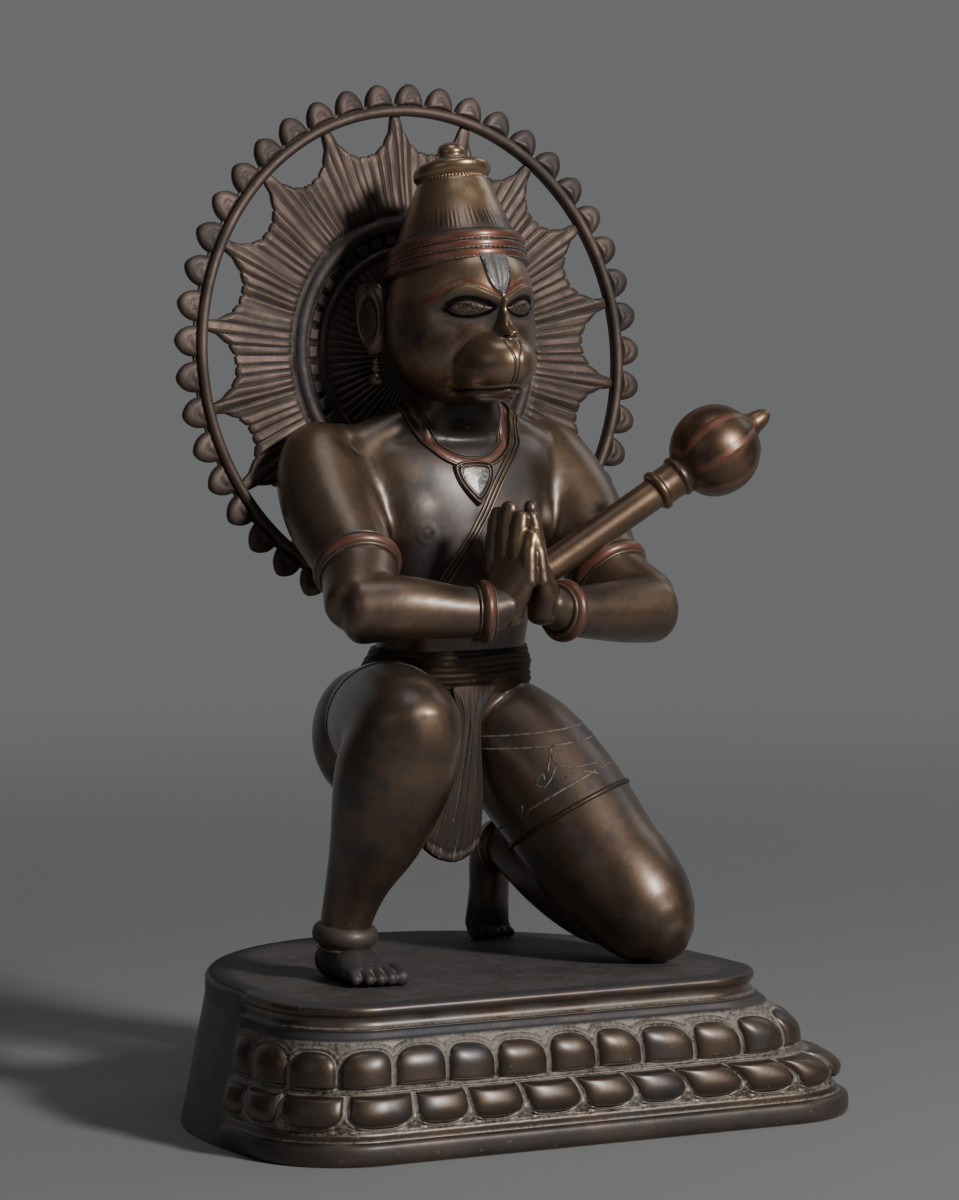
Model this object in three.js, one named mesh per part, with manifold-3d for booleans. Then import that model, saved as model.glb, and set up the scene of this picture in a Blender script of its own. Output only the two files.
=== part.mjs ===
// Cast bronze figure of a kneeling Hanuman with joined hands, a mace in the crook of the left arm and a
// pierced round halo at the back, on a lotus plinth. Millimetres, +Z up, the figure faces -Y.
// The origin is on the underside of the plinth, below the figure's middle.
import * as THREE from 'three';
import { mergeVertices } from 'three/addons/utils/BufferGeometryUtils.js';
import Module from 'manifold-3d';

const wasm = await Module();
wasm.setup();

// Driving dimensions
const touchGap = 0.3;            // between two castings that touch

const plinthHeight = 58;
const plinthTop = { centreX: -17, halfWidth: 103, front: 81, back: 94, corner: 32 };
const plinthFoot = { centreX: -2.5, halfWidth: 128.5, front: 92.5, back: 105, corner: 38 };
const slabHeight = 10.5;         // plain slab under the lotus
const topSlabHeight = 9;         // plain slab over the lotus
const petalPitch = 24.3;
const petalBulge = 3.2;
const mouldingEndY = -22;        // the moulding stops here, and the wall behind it is plain
const petalSteps = 3;            // facets across one petal
const backSteps = 12;

const haloRadius = 97.5;           // middle of the outer hoop
const haloHoop = 2.4;            // half width of the outer hoop
const haloPlate = 3;             // thickness of the pierced plate
const haloRays = 18;
const haloScallops = 45;
const scallopHeight = 9;
const rayValley = 84;            // radius at the hollow between two rays
const innerHoopRadius = 53;
const innerHoop = 3;
const fluteDepth = 1.3;
const haloCentre = new THREE.Vector3(1.6, 66.3, 294.4);
const haloLean = 5;              // degrees, the top leans back
const haloTurn = 4;              // degrees, the halo's face turns to the figure's left
const haloRoll = 2;              // degrees, its rays lie this far anticlockwise of upright
const bossRadius = 9;            // lug on the figure's back that carries the halo
const bossDrop = 38;             // below the halo's middle

const maceButt = new THREE.Vector3(11, -13, 208);
const maceBallCentre = new THREE.Vector3(88, -25, 258);
const maceShaft = 6.2;
const maceBall = 18;
const maceCollar = 8.2;

const headCentre = new THREE.Vector3(-1, 22, 306);
const headHalfWidth = 28;
const headHalfDepth = 31;
const headTilt = 6;              // degrees, the face looks a little up
const crownAxisY = 31;

const RAD = Math.PI / 180;
const TAU = 2 * Math.PI;
const V = (x, y, z) => new THREE.Vector3(x, y, z);
const lerp = (a, b, t) => a + (b - a) * t;
const smooth = (a, b, x) => {
  const t = Math.min(1, Math.max(0, (x - a) / (b - a)));
  return t * t * (3 - 2 * t);
};

// Solids and meshes

function solid(geometry) {
  const bare = geometry.clone();
  bare.deleteAttribute('normal');
  bare.deleteAttribute('uv');
  const g = mergeVertices(bare, 1e-4);
  return new wasm.Manifold(new wasm.Mesh({
    numProp: 3,
    vertProperties: new Float32Array(g.attributes.position.array),
    triVerts: new Uint32Array(g.index.array),
  }));
}

function geometryOf(manifold) {
  const mesh = manifold.getMesh();
  const g = new THREE.BufferGeometry();
  g.setAttribute('position', new THREE.BufferAttribute(new Float32Array(mesh.vertProperties), 3));
  g.setIndex(new THREE.BufferAttribute(new Uint32Array(mesh.triVerts), 1));
  g.computeVertexNormals();
  return g;
}

// Closed skin over rings of equal count; each end closes on a middle point.
function skin(rings, start, end) {
  const count = rings[0].length;
  const positions = [];
  const index = [];
  for (const ring of rings) for (const p of ring) positions.push(p.x, p.y, p.z);
  const first = rings.length * count;
  positions.push(start.x, start.y, start.z, end.x, end.y, end.z);
  for (let r = 0; r + 1 < rings.length; r++) {
    for (let k = 0; k < count; k++) {
      const a = r * count + k;
      const b = r * count + (k + 1) % count;
      index.push(a, b, b + count, a, b + count, a + count);
    }
  }
  const last = (rings.length - 1) * count;
  for (let k = 0; k < count; k++) {
    const n = (k + 1) % count;
    index.push(first, n, k, first + 1, last + k, last + n);
  }
  const g = new THREE.BufferGeometry();
  g.setAttribute('position', new THREE.BufferAttribute(new Float32Array(positions), 3));
  g.setIndex(index);
  return g;
}

// Rounded limb: an elliptical section carried along a smooth path through stations [point, half width,
// half depth], with a domed end at each side. The half width runs along the side vector.
function limb(stations, { side = V(1, 0, 0), sides = 12, steps = 2, dome = 0.6 } = {}) {
  const curve = new THREE.CatmullRomCurve3(stations.map((s) => s[0]), false, 'centripetal');
  const spans = stations.length - 1;
  const samples = [];
  for (let i = 0; i <= spans * steps; i++) {
    const u = i / steps;
    const k = Math.min(spans - 1, Math.floor(u));
    const f = u - k;
    const eased = f * f * (3 - 2 * f);
    samples.push({
      at: curve.getPoint(u / spans),
      along: curve.getTangent(u / spans),
      wide: lerp(stations[k][1], stations[k + 1][1], eased),
      deep: lerp(stations[k][2], stations[k + 1][2], eased),
    });
  }
  const ringAt = (s, shift, scale) => {
    const wideAxis = side.clone().addScaledVector(s.along, -side.dot(s.along)).normalize();
    const deepAxis = s.along.clone().cross(wideAxis);
    const centre = s.at.clone().addScaledVector(s.along, shift);
    return Array.from({ length: sides }, (_, k) => {
      const angle = TAU * k / sides;
      return centre.clone()
        .addScaledVector(wideAxis, s.wide * scale * Math.cos(angle))
        .addScaledVector(deepAxis, s.deep * scale * Math.sin(angle));
    });
  };
  const head = samples[0];
  const tail = samples[samples.length - 1];
  const headDome = dome * Math.min(head.wide, head.deep);
  const tailDome = dome * Math.min(tail.wide, tail.deep);
  const rings = [
    ringAt(head, -headDome * Math.sin(50 * RAD), Math.cos(50 * RAD)),
    ...samples.map((s) => ringAt(s, 0, 1)),
    ringAt(tail, tailDome * Math.sin(50 * RAD), Math.cos(50 * RAD)),
  ];
  return solid(skin(
    rings,
    head.at.clone().addScaledVector(head.along, -headDome),
    tail.at.clone().addScaledVector(tail.along, tailDome),
  ));
}

function ball(centre, rx, ry, rz, wide = 12, high = 8) {
  const g = new THREE.SphereGeometry(1, wide, high);
  g.rotateX(Math.PI / 2);
  g.scale(rx, ry, rz);
  g.translate(centre.x, centre.y, centre.z);
  return solid(g);
}

// Turned form about an axis from one point towards another; profile holds [radius, distance along].
function turned(profile, from, towards, segments = 16) {
  const g = new THREE.LatheGeometry(profile.map(([r, h]) => new THREE.Vector2(r, h)), segments);
  const turn = new THREE.Quaternion().setFromUnitVectors(V(0, 1, 0), towards.clone().sub(from).normalize());
  g.applyQuaternion(turn);
  g.translate(from.x, from.y, from.z);
  return solid(g);
}

const union = (parts) => parts.reduce((a, b) => a.add(b));

// The same solid with any pocket sealed inside it filled.
const filled = (manifold) => wasm.Manifold.compose(manifold.decompose().filter((part) => part.volume() > 0));

const mirrored = (p) => V(-p.x, p.y, p.z);

// Plinth

// Lotus mouldings from the foot up: height, how far the outline lies from the top's (0) to the foot's (1),
// petal row (1 where there is one) and the share of the petals' bulge.
function plinthLevels() {
  const rise = plinthHeight - topSlabHeight - slabHeight;
  const at = (share) => slabHeight + rise * share;
  return [
    [0, 1, 0, 0], [slabHeight - 1.6, 1, 0, 0], [slabHeight, 0.93, 0, 0],
    [at(0.03), 0.78, 1, 0.1], [at(0.17), 0.86, 1, 1], [at(0.33), 0.68, 1, 0.9], [at(0.42), 0.34, 1, 0.1],
    [at(0.6), 0.44, 1, 1], [at(0.76), 0.36, 1, 0.9], [at(0.85), 0.18, 1, 0.1],
    [at(0.93), 0.24, 0, 0], [at(1), 0, 0, 0], [plinthHeight - 1.5, 0, 0, 0], [plinthHeight, -0.05, 0, 0],
  ];
}

function plan(share) {
  const mix = (key) => lerp(plinthTop[key], plinthFoot[key], share);
  return { x: mix('centreX'), a: mix('halfWidth'), f: mix('front'), b: mix('back'), r: mix('corner') };
}

// A point of the outline: piece 0 left side, 1 left corner, 2 front, 3 right corner, 4 right side, 5 back.
function outlinePoint(p, piece, f) {
  const sideStart = p.f + mouldingEndY - p.r;
  const corner = (cx, from) => {
    const angle = (from + 90 * f) * RAD;
    return [cx + p.r * Math.cos(angle), -p.f + p.r + p.r * Math.sin(angle)];
  };
  if (piece === 0) return [p.x - p.a, mouldingEndY - sideStart * f];
  if (piece === 1) return corner(p.x - p.a + p.r, 180);
  if (piece === 2) return [lerp(p.x - p.a + p.r, p.x + p.a - p.r, f), -p.f];
  if (piece === 3) return corner(p.x + p.a - p.r, 270);
  if (piece === 4) return [p.x + p.a, -p.f + p.r + sideStart * f];
  const angle = Math.PI * f;
  return [p.x + p.a * Math.cos(angle), mouldingEndY + (p.b - mouldingEndY) * Math.sin(angle)];
}

function plinth() {
  const foot = plan(1);
  const lengths = [
    foot.f + mouldingEndY - foot.r, foot.r * Math.PI / 2, 2 * (foot.a - foot.r),
    foot.r * Math.PI / 2, foot.f + mouldingEndY - foot.r,
  ];
  const total = lengths.reduce((a, b) => a + b);
  const petals = Math.round(total / petalPitch);
  const places = [];
  for (let i = 0; i < petals * petalSteps; i++) {
    let rest = total * i / (petals * petalSteps);
    let piece = 0;
    while (piece < 4 && rest > lengths[piece]) {
      rest -= lengths[piece];
      piece++;
    }
    places.push({ piece, f: rest / lengths[piece], phase: i / petalSteps });
  }
  for (let i = 0; i < backSteps; i++) places.push({ piece: 5, f: i / backSteps, phase: 0 });
  const rings = plinthLevels().map(([z, share, row, bulge]) => {
    const plain = plan(1 - z / plinthHeight);
    return places.map(({ piece, f, phase }) => {
      const [px, py] = outlinePoint(plain, piece, f);
      if (piece === 5) return V(px, py, z);
      const shape = plan(share);
      const [x, y] = outlinePoint(shape, piece, f);
      const [x2, y2] = outlinePoint(shape, piece, Math.min(1, f + 0.01));
      const [x1, y1] = outlinePoint(shape, piece, Math.max(0, f - 0.01));
      const out = V(y2 - y1, x1 - x2, 0).normalize();
      const across = phase % 1 * 2 - 1;
      const lift = row ? petalBulge * bulge * (Math.sqrt(1 - across * across) - 0.35) : 0;
      const ends = Math.min(phase, petals - phase);
      const blend = smooth(0, 0.6, ends);
      return V(lerp(px, x + out.x * lift, blend), lerp(py, y + out.y * lift, blend), z);
    });
  });
  return solid(skin(rings, V(plinthFoot.centreX, 0, 0), V(plinthTop.centreX, 0, plinthHeight)));
}

// Halo, made in its own plane: X across, Y up, Z towards the viewer

function rayOutline(phase) {
  const across = Math.abs(phase % 1 * 2 - 1);           // 1 at a ray's tip, 0 in the hollow
  return lerp(rayValley, haloRadius, across ** 3.2);
}

// Rays, flutes and the raised inner hoop, as rings of points from the back face to the middle of the front.
function haloStar() {
  const perRay = 4;
  const count = haloRays * perRay;
  const half = haloPlate / 2;
  const ring = (radiusAt, zAt) => Array.from({ length: count }, (_, k) => {
    const angle = TAU * k / count;
    const r = radiusAt(k);
    return V(-r * Math.sin(angle), r * Math.cos(angle), zAt(k));
  });
  const edge = (k) => rayOutline(k / perRay);
  const flute = (k) => half - (k % 2 ? fluteDepth : 0);
  return solid(skin([
    ring(edge, () => -half),
    ring(edge, flute),
    ring(() => innerHoopRadius + innerHoop, flute),
    ring(() => innerHoopRadius, () => half + innerHoop),
    ring(() => innerHoopRadius - innerHoop, flute),
  ], V(0, 0, -half), V(0, 0, half)));
}

// Outer hoop with its border of scallops, as one closed ring.
function haloRim() {
  const perScallop = 3;
  const count = haloScallops * perScallop;
  const half = haloPlate / 2;
  const positions = [];
  const index = [];
  for (let k = 0; k < count; k++) {
    const angle = TAU * k / count;
    const across = (k / perScallop + 0.5) % 1 * 2 - 1;
    const rim = haloRadius + haloHoop + scallopHeight * Math.sqrt(1 - across * across);
    const section = [
      [haloRadius - haloHoop, -half], [haloRadius - haloHoop * 0.6, half + haloHoop * 0.6],
      [haloRadius + haloHoop * 0.6, half + haloHoop * 0.6], [rim, half], [rim, -half],
    ];
    const sides = section.length;
    section.forEach(([r, z], side) => {
      positions.push(-r * Math.sin(angle), r * Math.cos(angle), z);
      const next = (k + 1) % count;
      const up = (side + 1) % sides;
      const corners = [k * sides + side, k * sides + up, next * sides + up, next * sides + side];
      index.push(corners[0], corners[1], corners[2], corners[0], corners[2], corners[3]);
    });
  }
  const g = new THREE.BufferGeometry();
  g.setAttribute('position', new THREE.BufferAttribute(new Float32Array(positions), 3));
  g.setIndex(index);
  return solid(g);
}

function haloFrame() {
  // The plane's X stays X; its Y leans back from +Z, and its face looks along -Y.
  const matrix = new THREE.Matrix4().makeRotationZ(haloTurn * RAD);
  matrix.multiply(new THREE.Matrix4().makeRotationX((90 - haloLean) * RAD));
  matrix.multiply(new THREE.Matrix4().makeRotationZ(haloRoll * RAD));
  matrix.setPosition(haloCentre);
  return matrix;
}

function placedInHalo(manifold) {
  const g = geometryOf(manifold);
  g.applyMatrix4(haloFrame());
  return solid(g);
}

const halo = () => placedInHalo(union([haloStar(), haloRim()]));

// Mace

const maceAxis = maceBallCentre.clone().sub(maceButt).normalize();
const maceLength = maceBallCentre.distanceTo(maceButt);

function maceProfile(clearance = 0) {
  const collarEnd = maceLength - maceBall * 0.93;
  const collarStart = collarEnd - 13;
  const bulge = Array.from({ length: 7 }, (_, k) => {
    const angle = (-62 + 22 * k) * RAD;
    return [maceBall * Math.cos(angle), maceLength + maceBall * Math.sin(angle)];
  });
  const tip = maceLength + maceBall;
  return [
    [0, -clearance], [maceShaft + clearance, -clearance], [maceShaft + clearance, collarStart],
    [maceCollar, collarStart + 2], [maceCollar, collarStart + 5], [maceShaft + 0.8, collarStart + 6.5],
    [maceCollar, collarStart + 8.5], [maceCollar, collarEnd],
    ...bulge,
    [5.2, tip + 0.5], [3.4, tip + 7], [0, tip + 9.5],
  ];
}

function mace() {
  return turned(maceProfile(), maceButt, maceBallCentre, 12);
}

// Figure

// Trunk from the seat to the neck, with the folds of the waist cloth.
function torso() {
  const folds = [[160, 34.5], [165, 36.2], [168, 34.4], [172, 35.4], [175, 33.4], [179, 34]]
    .map(([z, r]) => [V(-1, 37 - (z - 160) * 0.3, z), r, r * 0.7]);
  return union([
    limb([
      [V(0, 40, 146), 30, 24], ...folds, [V(-1, 28, 183), 31, 20], [V(-0.5, 26, 194), 31.5, 19.5],
      [V(0, 25, 226), 38, 20], [V(0, 27, 246), 44, 19], [V(0, 30, 260), 40, 15.5], [V(0, 29, 269), 26, 14],
      [V(0, 27, 277), 17, 15], [V(0, 26, 288), 15.5, 15],
    ], { sides: 12, steps: 1 }),
    ball(V(-19, 17, 232), 18, 12, 16, 9, 6),
    ball(V(19, 17, 232), 18, 12, 16, 9, 6),
    ball(V(-32, 42, 145), 21, 25, 27, 10, 7),
    ball(V(22, 44, 141), 21, 22, 25, 10, 7),
  ]);
}

// Pleated flap that hangs from the waist between the knees.
function apron() {
  const pleats = 5;
  const top = V(-1, 11, 166);
  const foot = V(-12, 9, 103);
  const rows = 4;
  const rings = [];
  for (let i = 0; i <= rows; i++) {
    const t = i / rows;
    const centre = top.clone().lerp(foot, t);
    centre.y -= 3 * Math.sin(Math.PI * t);
    const width = lerp(6, 11.8, t ** 0.8);
    const ring = [];
    for (let k = 0; k <= pleats; k++) {
      const across = k / pleats * 2 - 1;
      const sag = t === 1 ? 5 * (1 - across * across) - 1 : 0;
      ring.push(V(centre.x + width * across, centre.y - 2.4 - (k % 2 ? 1.1 : 0), centre.z - sag));
    }
    ring.push(V(centre.x + width, centre.y + 2.4, centre.z), V(centre.x - width, centre.y + 2.4, centre.z));
    rings.push(ring.reverse());
  }
  return solid(skin(rings, top.clone().add(V(0, 0, 1)), foot.clone().add(V(0, 0, -1))));
}

// Middle of each arm: shoulder, upper arm, arm ring, elbow, two forearm places and wrist.
const armPaths = {
  right: [V(-50, 40, 252), V(-54.5, 28, 235), V(-55, 5, 215), V(-63.5, -14, 200), V(-47.5, -20, 200.5),
    V(-28, -26, 198.5), V(-17.5, -29, 198.5)],
  left: [V(45, 40, 251), V(54, 28, 233), V(56.5, 5, 208.5), V(65, -14, 195.5), V(49, -19, 195.5),
    V(28, -26, 196.5), V(17.5, -29, 197.5)],
};

// A ring that swells out of a limb's path at a point, as three stations.
const ringStations = (at, along, limbRadius, thickness) => [
  [at.clone().addScaledVector(along, -thickness), limbRadius, limbRadius],
  [at, limbRadius + thickness, limbRadius + thickness],
  [at.clone().addScaledVector(along, thickness), limbRadius, limbRadius],
];

function arm(which) {
  const [shoulder, upper, band, elbow, fore, lowFore, wrist] = armPaths[which];
  const sign = which === 'left' ? 1 : -1;
  const armAlong = elbow.clone().sub(upper).normalize();
  const wristAlong = wrist.clone().sub(lowFore).normalize();
  const inner = shoulder.clone().add(V(-10 * sign, -1, 7));
  return union([
    limb([
      [inner, 13, 13], [shoulder, 19.5, 17], [upper, 18.8, 18.5],
      ...ringStations(band, armAlong, 15, 2.6), [elbow.clone().add(V(0, 2, 2)), 13, 13],
    ], { sides: 9, steps: 1 }),
    limb([
      [elbow, 13.5, 13.5], [fore, 12.4, 12.4], [lowFore, 10.3, 10.3],
      ...ringStations(wrist, wristAlong, 9.2, 3.4), [V(9 * sign, -30, 201), 7, 9.6],
    ], { side: V(0, 0, 1), sides: 8, steps: 1 }),
  ]);
}

// Two palms pressed together, the outer edges foremost.
function hand(which) {
  const place = (p) => (which === 'left' ? p.clone() : mirrored(p));
  const palmTurn = 24 * RAD;
  const side = V(Math.sin(palmTurn), Math.cos(palmTurn), 0);
  const across = place(side.clone());
  const middle = (z, x, y) => place(V(x, y, z));
  const palm = limb([
    [middle(196, 8, -30), 8, 7], [middle(205, 7.5, -30.5), 11, 6], [middle(215, 6.6, -30), 11.5, 4.8],
    [middle(223, 5.8, -29), 11, 3.6],
  ], { side: across, sides: 8, steps: 1 });
  const fingers = [-8.6, -3.2, 2.4, 7.8].map((shift, k) => {
    const root = middle(219, 5.8, -29).addScaledVector(across, shift);
    const tip = middle([232, 238.5, 240, 235][k], 3.9, -27.5).addScaledVector(across, shift * 0.92);
    return limb([[root, 3, 3.1], [tip, 2.6, 2.7]], { side: across, sides: 4, steps: 1, dome: 0.9 });
  });
  const thumb = limb([
    [middle(206, 8.5, -21), 3.4, 3.2], [middle(218, 7.5, -16.5), 3, 3], [middle(226, 5.5, -17), 2.4, 2.4],
  ], { side: across, sides: 5, steps: 1 });
  return union([palm, ...fingers, thumb]);
}

const rightKnee = V(-57, -40, 155.5);
const rightAnkle = V(-71, -16, 80);

function rightLeg() {
  return union([
    limb([
      [V(-26, 38, 150), 22, 23], [V(-38, 14, 153), 23.5, 24], [V(-50, -16, 155), 23, 23.5],
      [rightKnee, 21.5, 22.5], [V(-58, -45, 152.5), 20, 20.5],
    ], { sides: 10, steps: 1, dome: 0.8 }),
    limb([
      [V(-57, -40, 154), 22, 21], [V(-59.5, -34, 138), 23, 22], [V(-63, -27, 116), 18.6, 18.4],
      [V(-68, -20, 96), 12.4, 12.4], [rightAnkle, 9.8, 9.8], [V(-71, -15.5, 75), 12.2, 12.4],
      [V(-71.5, -15, 70), 9.5, 10.5],
    ], { sides: 10, steps: 1 }),
    foot(V(-71.5, -6, plinthHeight), V(-69, -37, plinthHeight)),
  ]);
}

// Foot flat on the plinth, from the heel to the toes.
function foot(heel, toes) {
  const along = toes.clone().sub(heel).setZ(0).normalize();
  const across = V(along.y, -along.x, 0);
  const lift = (p, z) => p.clone().setZ(plinthHeight + z);
  const body = limb([
    [lift(heel, 7), 8, 9], [lift(heel.clone().lerp(toes, 0.45), 7), 9.5, 8.5],
    [lift(heel.clone().lerp(toes, 0.88), 4.6), 11, 5.2],
  ], { side: across, sides: 8, steps: 1, dome: 0.7 });
  const toeSolids = [-9, -4.6, -0.4, 3.8, 8.2].map((shift, k) => {
    const reach = [0, 2.2, 3, 3.4, 2.8][k];
    const size = [2.2, 2.3, 2.4, 2.6, 3.3][k];
    const root = lift(heel.clone().lerp(toes, 0.82).addScaledVector(across, -shift), 3.6);
    const tip = lift(toes.clone().addScaledVector(across, -shift).addScaledVector(along, reach), 3);
    return limb([[root, size, size], [tip, size, size]], { side: across, sides: 4, steps: 1, dome: 0.9 });
  });
  return union([body, ...toeSolids]);
}

function leftLeg() {
  const knee = V(55.5, -36, plinthHeight + 15);
  const ankle = V(32, 45, plinthHeight + 40);
  return union([
    limb([
      [V(17, 36, 148), 23, 23], [V(26, 20, 136.5), 26, 26], [V(35, 5, 119), 26.5, 26.5],
      [V(43.5, -13, 96.5), 25, 25.5], [V(50.5, -26, 82), 20, 21], [knee, 15, 15.5],
    ], { sides: 10, steps: 1, dome: 0.9 }),
    limb([
      [V(50, -20, plinthHeight + 18), 14, 15], [V(45, -6, plinthHeight + 22), 15.5, 17],
      [V(39, 18, plinthHeight + 31), 15, 16], [ankle, 9.5, 10], [V(31, 54, plinthHeight + 38), 8.5, 9],
    ], { sides: 10, steps: 1 }),
    limb([
      [V(31, 54, plinthHeight + 38), 8.5, 8.5], [V(31, 56, plinthHeight + 22), 8.5, 6.5],
      [V(30.5, 60, plinthHeight + 8), 9.5, 5], [V(30.5, 59, plinthHeight + 3), 9.5, 6],
    ], { sides: 8, steps: 1 }),
  ]);
}

function head() {
  const tilt = headTilt * RAD;
  const at = (x, y, z) => V(x, y, z).applyAxisAngle(V(1, 0, 0), -tilt).add(headCentre);
  const skull = limb([
    [at(0, 2, -27), 17, 20], [at(0, 0, -17), 25.5, 27], [at(0, 0, -4), headHalfWidth, headHalfDepth],
    [at(0, 0, 10), 27.5, 31], [at(0, 2, 24), 26, 29.5],
  ], { sides: 12, steps: 1, dome: 0.4 });
  const muzzle = ball(at(0, -27, -14.5), 16.5, 20, 14, 10, 6);
  const chin = ball(at(0, -21, -21.5), 13, 14, 8.5, 10, 5);
  const browArch = ball(at(0, -24, 12), 20, 10, 9, 10, 5);
  const nose = limb([
    [at(0, -33, 10), 1.6, 2.4], [at(0, -38, 2), 2.2, 2.6], [at(0, -41.5, -2.5), 3.8, 3],
  ], { sides: 5, steps: 1, dome: 0.8 });
  const eyes = [-1, 1].map((s) => ball(at(12.5 * s, -25.5, 4), 7, 5, 3.8, 8, 5));
  const ears = [-1, 1].map((s) => limb([
    [at(27 * s, 4, 13), 2.6, 5], [at(29 * s, 6, 2), 3, 6], [at(26.5 * s, 5, -14), 2.4, 4],
  ], { sides: 6, steps: 1 }));
  return union([skull, muzzle, chin, browArch, nose, ...eyes, ...ears]);
}

// Cap over the headband: three bands, a flared dome, a ring and a bud.
function crown() {
  const y = crownAxisY;
  const rise = headCentre.z;
  const axis = V(0, Math.sin(headTilt * RAD) * 0.7, 1).normalize();
  const foot = V(0, y - 6, rise + 15);
  const bands = [[28.5, 3], [29, 9], [28, 15]].flatMap(([r, h]) => [[r - 1.2, h - 2.8], [r, h]]);
  const profile = [
    [0, -4], [24, -4], ...bands, [23.4, 19], [21.4, 30], [17.6, 38], [14, 41.5],
    [15.8, 44], [15.4, 49], [12, 51], [5.6, 51.5], [5.4, 55], [3, 57.6], [0, 58.2],
  ];
  const tip = foot.clone().addScaledVector(axis, 10);
  return turned(profile, foot, tip, 14);
}

// Collar, pendant and the cord across the chest.
function ornaments() {
  const collar = limb([
    [V(-19, 36, 267), 1.6, 1.8], [V(-20, 20, 262), 1.8, 1.8], [V(-11, 11, 257), 2, 1.8], [V(0, 8.5, 253), 2.4, 1.8],
    [V(11, 11, 257), 2, 1.8], [V(20, 20, 262), 1.8, 1.8], [V(19, 36, 267), 1.6, 1.8],
  ], { side: V(0, 0, 1), sides: 5, steps: 1 });
  const pendant = limb([
    [V(0, 8, 253), 7.4, 2.6], [V(0, 6.5, 247), 6.2, 2.6], [V(0, 5.4, 240), 1.6, 2],
  ], { sides: 6, steps: 1 });
  return union([collar, pendant]);
}

// Lug on the back with its end parallel to the halo's plate.
function boss() {
  const face = V(0, -bossDrop, haloPlate / 2 + touchGap).applyMatrix4(haloFrame());
  const inwards = V(0, -bossDrop, haloPlate / 2 + 30).applyMatrix4(haloFrame());
  return turned([[0, 0], [bossRadius, 0], [bossRadius, 22], [0, 22]], face, inwards, 14);
}

function cutBelow(height) {
  const g = new THREE.BoxGeometry(400, 400, 200);
  g.translate(0, 0, height - 100);
  return solid(g);
}

function figure() {
  const body = union([
    torso(), apron(), arm('left'), arm('right'), hand('left'), hand('right'),
    rightLeg(), leftLeg(), head(), crown(), ornaments(), boss(),
  ]);
  return filled(body)
    .subtract(turned(maceProfile(touchGap), maceButt, maceBallCentre, 12))
    .subtract(cutBelow(plinthHeight + touchGap));
}

function bronze(name, manifold, colour, roughness) {
  const material = new THREE.MeshStandardMaterial({ color: colour, roughness, metalness: 0.9 });
  const mesh = new THREE.Mesh(geometryOf(manifold), material);
  mesh.name = name;
  return mesh;
}

const statue = new THREE.Group();
statue.add(
  bronze('plinth', plinth(), 0x4a4038, 0.45),
  bronze('figure', figure(), 0x5a4a34, 0.38),
  bronze('halo', halo(), 0x5f5048, 0.5),
  bronze('mace', mace(), 0x5c4632, 0.38),
);

export default statue;
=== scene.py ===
"""Kneeling bronze figure with halo, mace and lotus plinth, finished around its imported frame."""

import math

import bpy
import numpy as np
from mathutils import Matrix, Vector
from mathutils.bvhtree import BVHTree


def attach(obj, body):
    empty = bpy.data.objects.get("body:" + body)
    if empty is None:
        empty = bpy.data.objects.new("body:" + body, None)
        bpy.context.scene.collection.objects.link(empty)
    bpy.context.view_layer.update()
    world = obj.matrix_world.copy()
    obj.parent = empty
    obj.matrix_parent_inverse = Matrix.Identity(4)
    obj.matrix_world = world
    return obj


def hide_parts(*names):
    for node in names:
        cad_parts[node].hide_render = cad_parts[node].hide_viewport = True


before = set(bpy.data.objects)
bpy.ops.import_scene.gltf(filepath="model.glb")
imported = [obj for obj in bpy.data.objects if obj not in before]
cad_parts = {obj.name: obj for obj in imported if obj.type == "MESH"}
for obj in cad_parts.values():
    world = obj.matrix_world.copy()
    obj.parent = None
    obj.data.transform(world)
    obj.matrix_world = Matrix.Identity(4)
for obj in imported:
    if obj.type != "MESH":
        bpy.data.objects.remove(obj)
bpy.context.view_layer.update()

MM = 0.001
TAU = 2 * math.pi

CAMERA_TURN = math.radians(28.5)
CAMERA_DOWN = math.radians(4.45)
CAMERA_FAR = 2.0
CAMERA_HIGH = 0.356
SENSOR = 36
PICTURE_HEIGHT = 1200
FOCAL_PIXELS = 5128
SHIFT_PIXELS = -9


def placed(name, data):
    """An object of the data, linked into the scene."""
    obj = bpy.data.objects.new(name, data)
    bpy.context.scene.collection.objects.link(obj)
    return obj


def make_camera():
    """Two metres off, 28.5 degrees round to the figure's right hand and 356 mm up, looking 4.45 degrees
    down; the focal length is 5128 of the picture's 1200 pixels of height."""
    data = bpy.data.cameras.new("camera")
    data.sensor_width = SENSOR
    data.lens = SENSOR * FOCAL_PIXELS / PICTURE_HEIGHT
    data.shift_x = SHIFT_PIXELS / PICTURE_HEIGHT
    data.clip_start = 0.1
    data.clip_end = 50
    camera = placed("camera", data)
    camera.location = (-CAMERA_FAR * math.sin(CAMERA_TURN), -CAMERA_FAR * math.cos(CAMERA_TURN), CAMERA_HIGH)
    camera.rotation_euler = (math.pi / 2 - CAMERA_DOWN, 0, -CAMERA_TURN)
    bpy.context.scene.camera = camera


make_camera()


# Arithmetic on whole arrays


def smooth(low, high, x):
    """Rises from 0 at low to 1 at high along the curve 3t^2 - 2t^3."""
    t = np.clip((x - low) / (high - low), 0, 1)
    return t * t * (3 - 2 * t)


def window(x, a, b, c, d):
    """Rises from 0 at a to 1 at b, and falls from 1 at c back to 0 at d."""
    return smooth(a, b, x) * smooth(d, c, x)


def blob(x, middle, width):
    """A bell of height 1 at the middle: e to the minus square of the distance over the width."""
    return np.exp(-(((x - middle) / width) ** 2))


def near(points, centre, width):
    """The same bell about a point in space."""
    return blob(np.linalg.norm(points - np.asarray(centre, float), axis=-1), 0, width)


def full_turn(count):
    """Even angles once round."""
    return np.arange(count) * TAU / count


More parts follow.
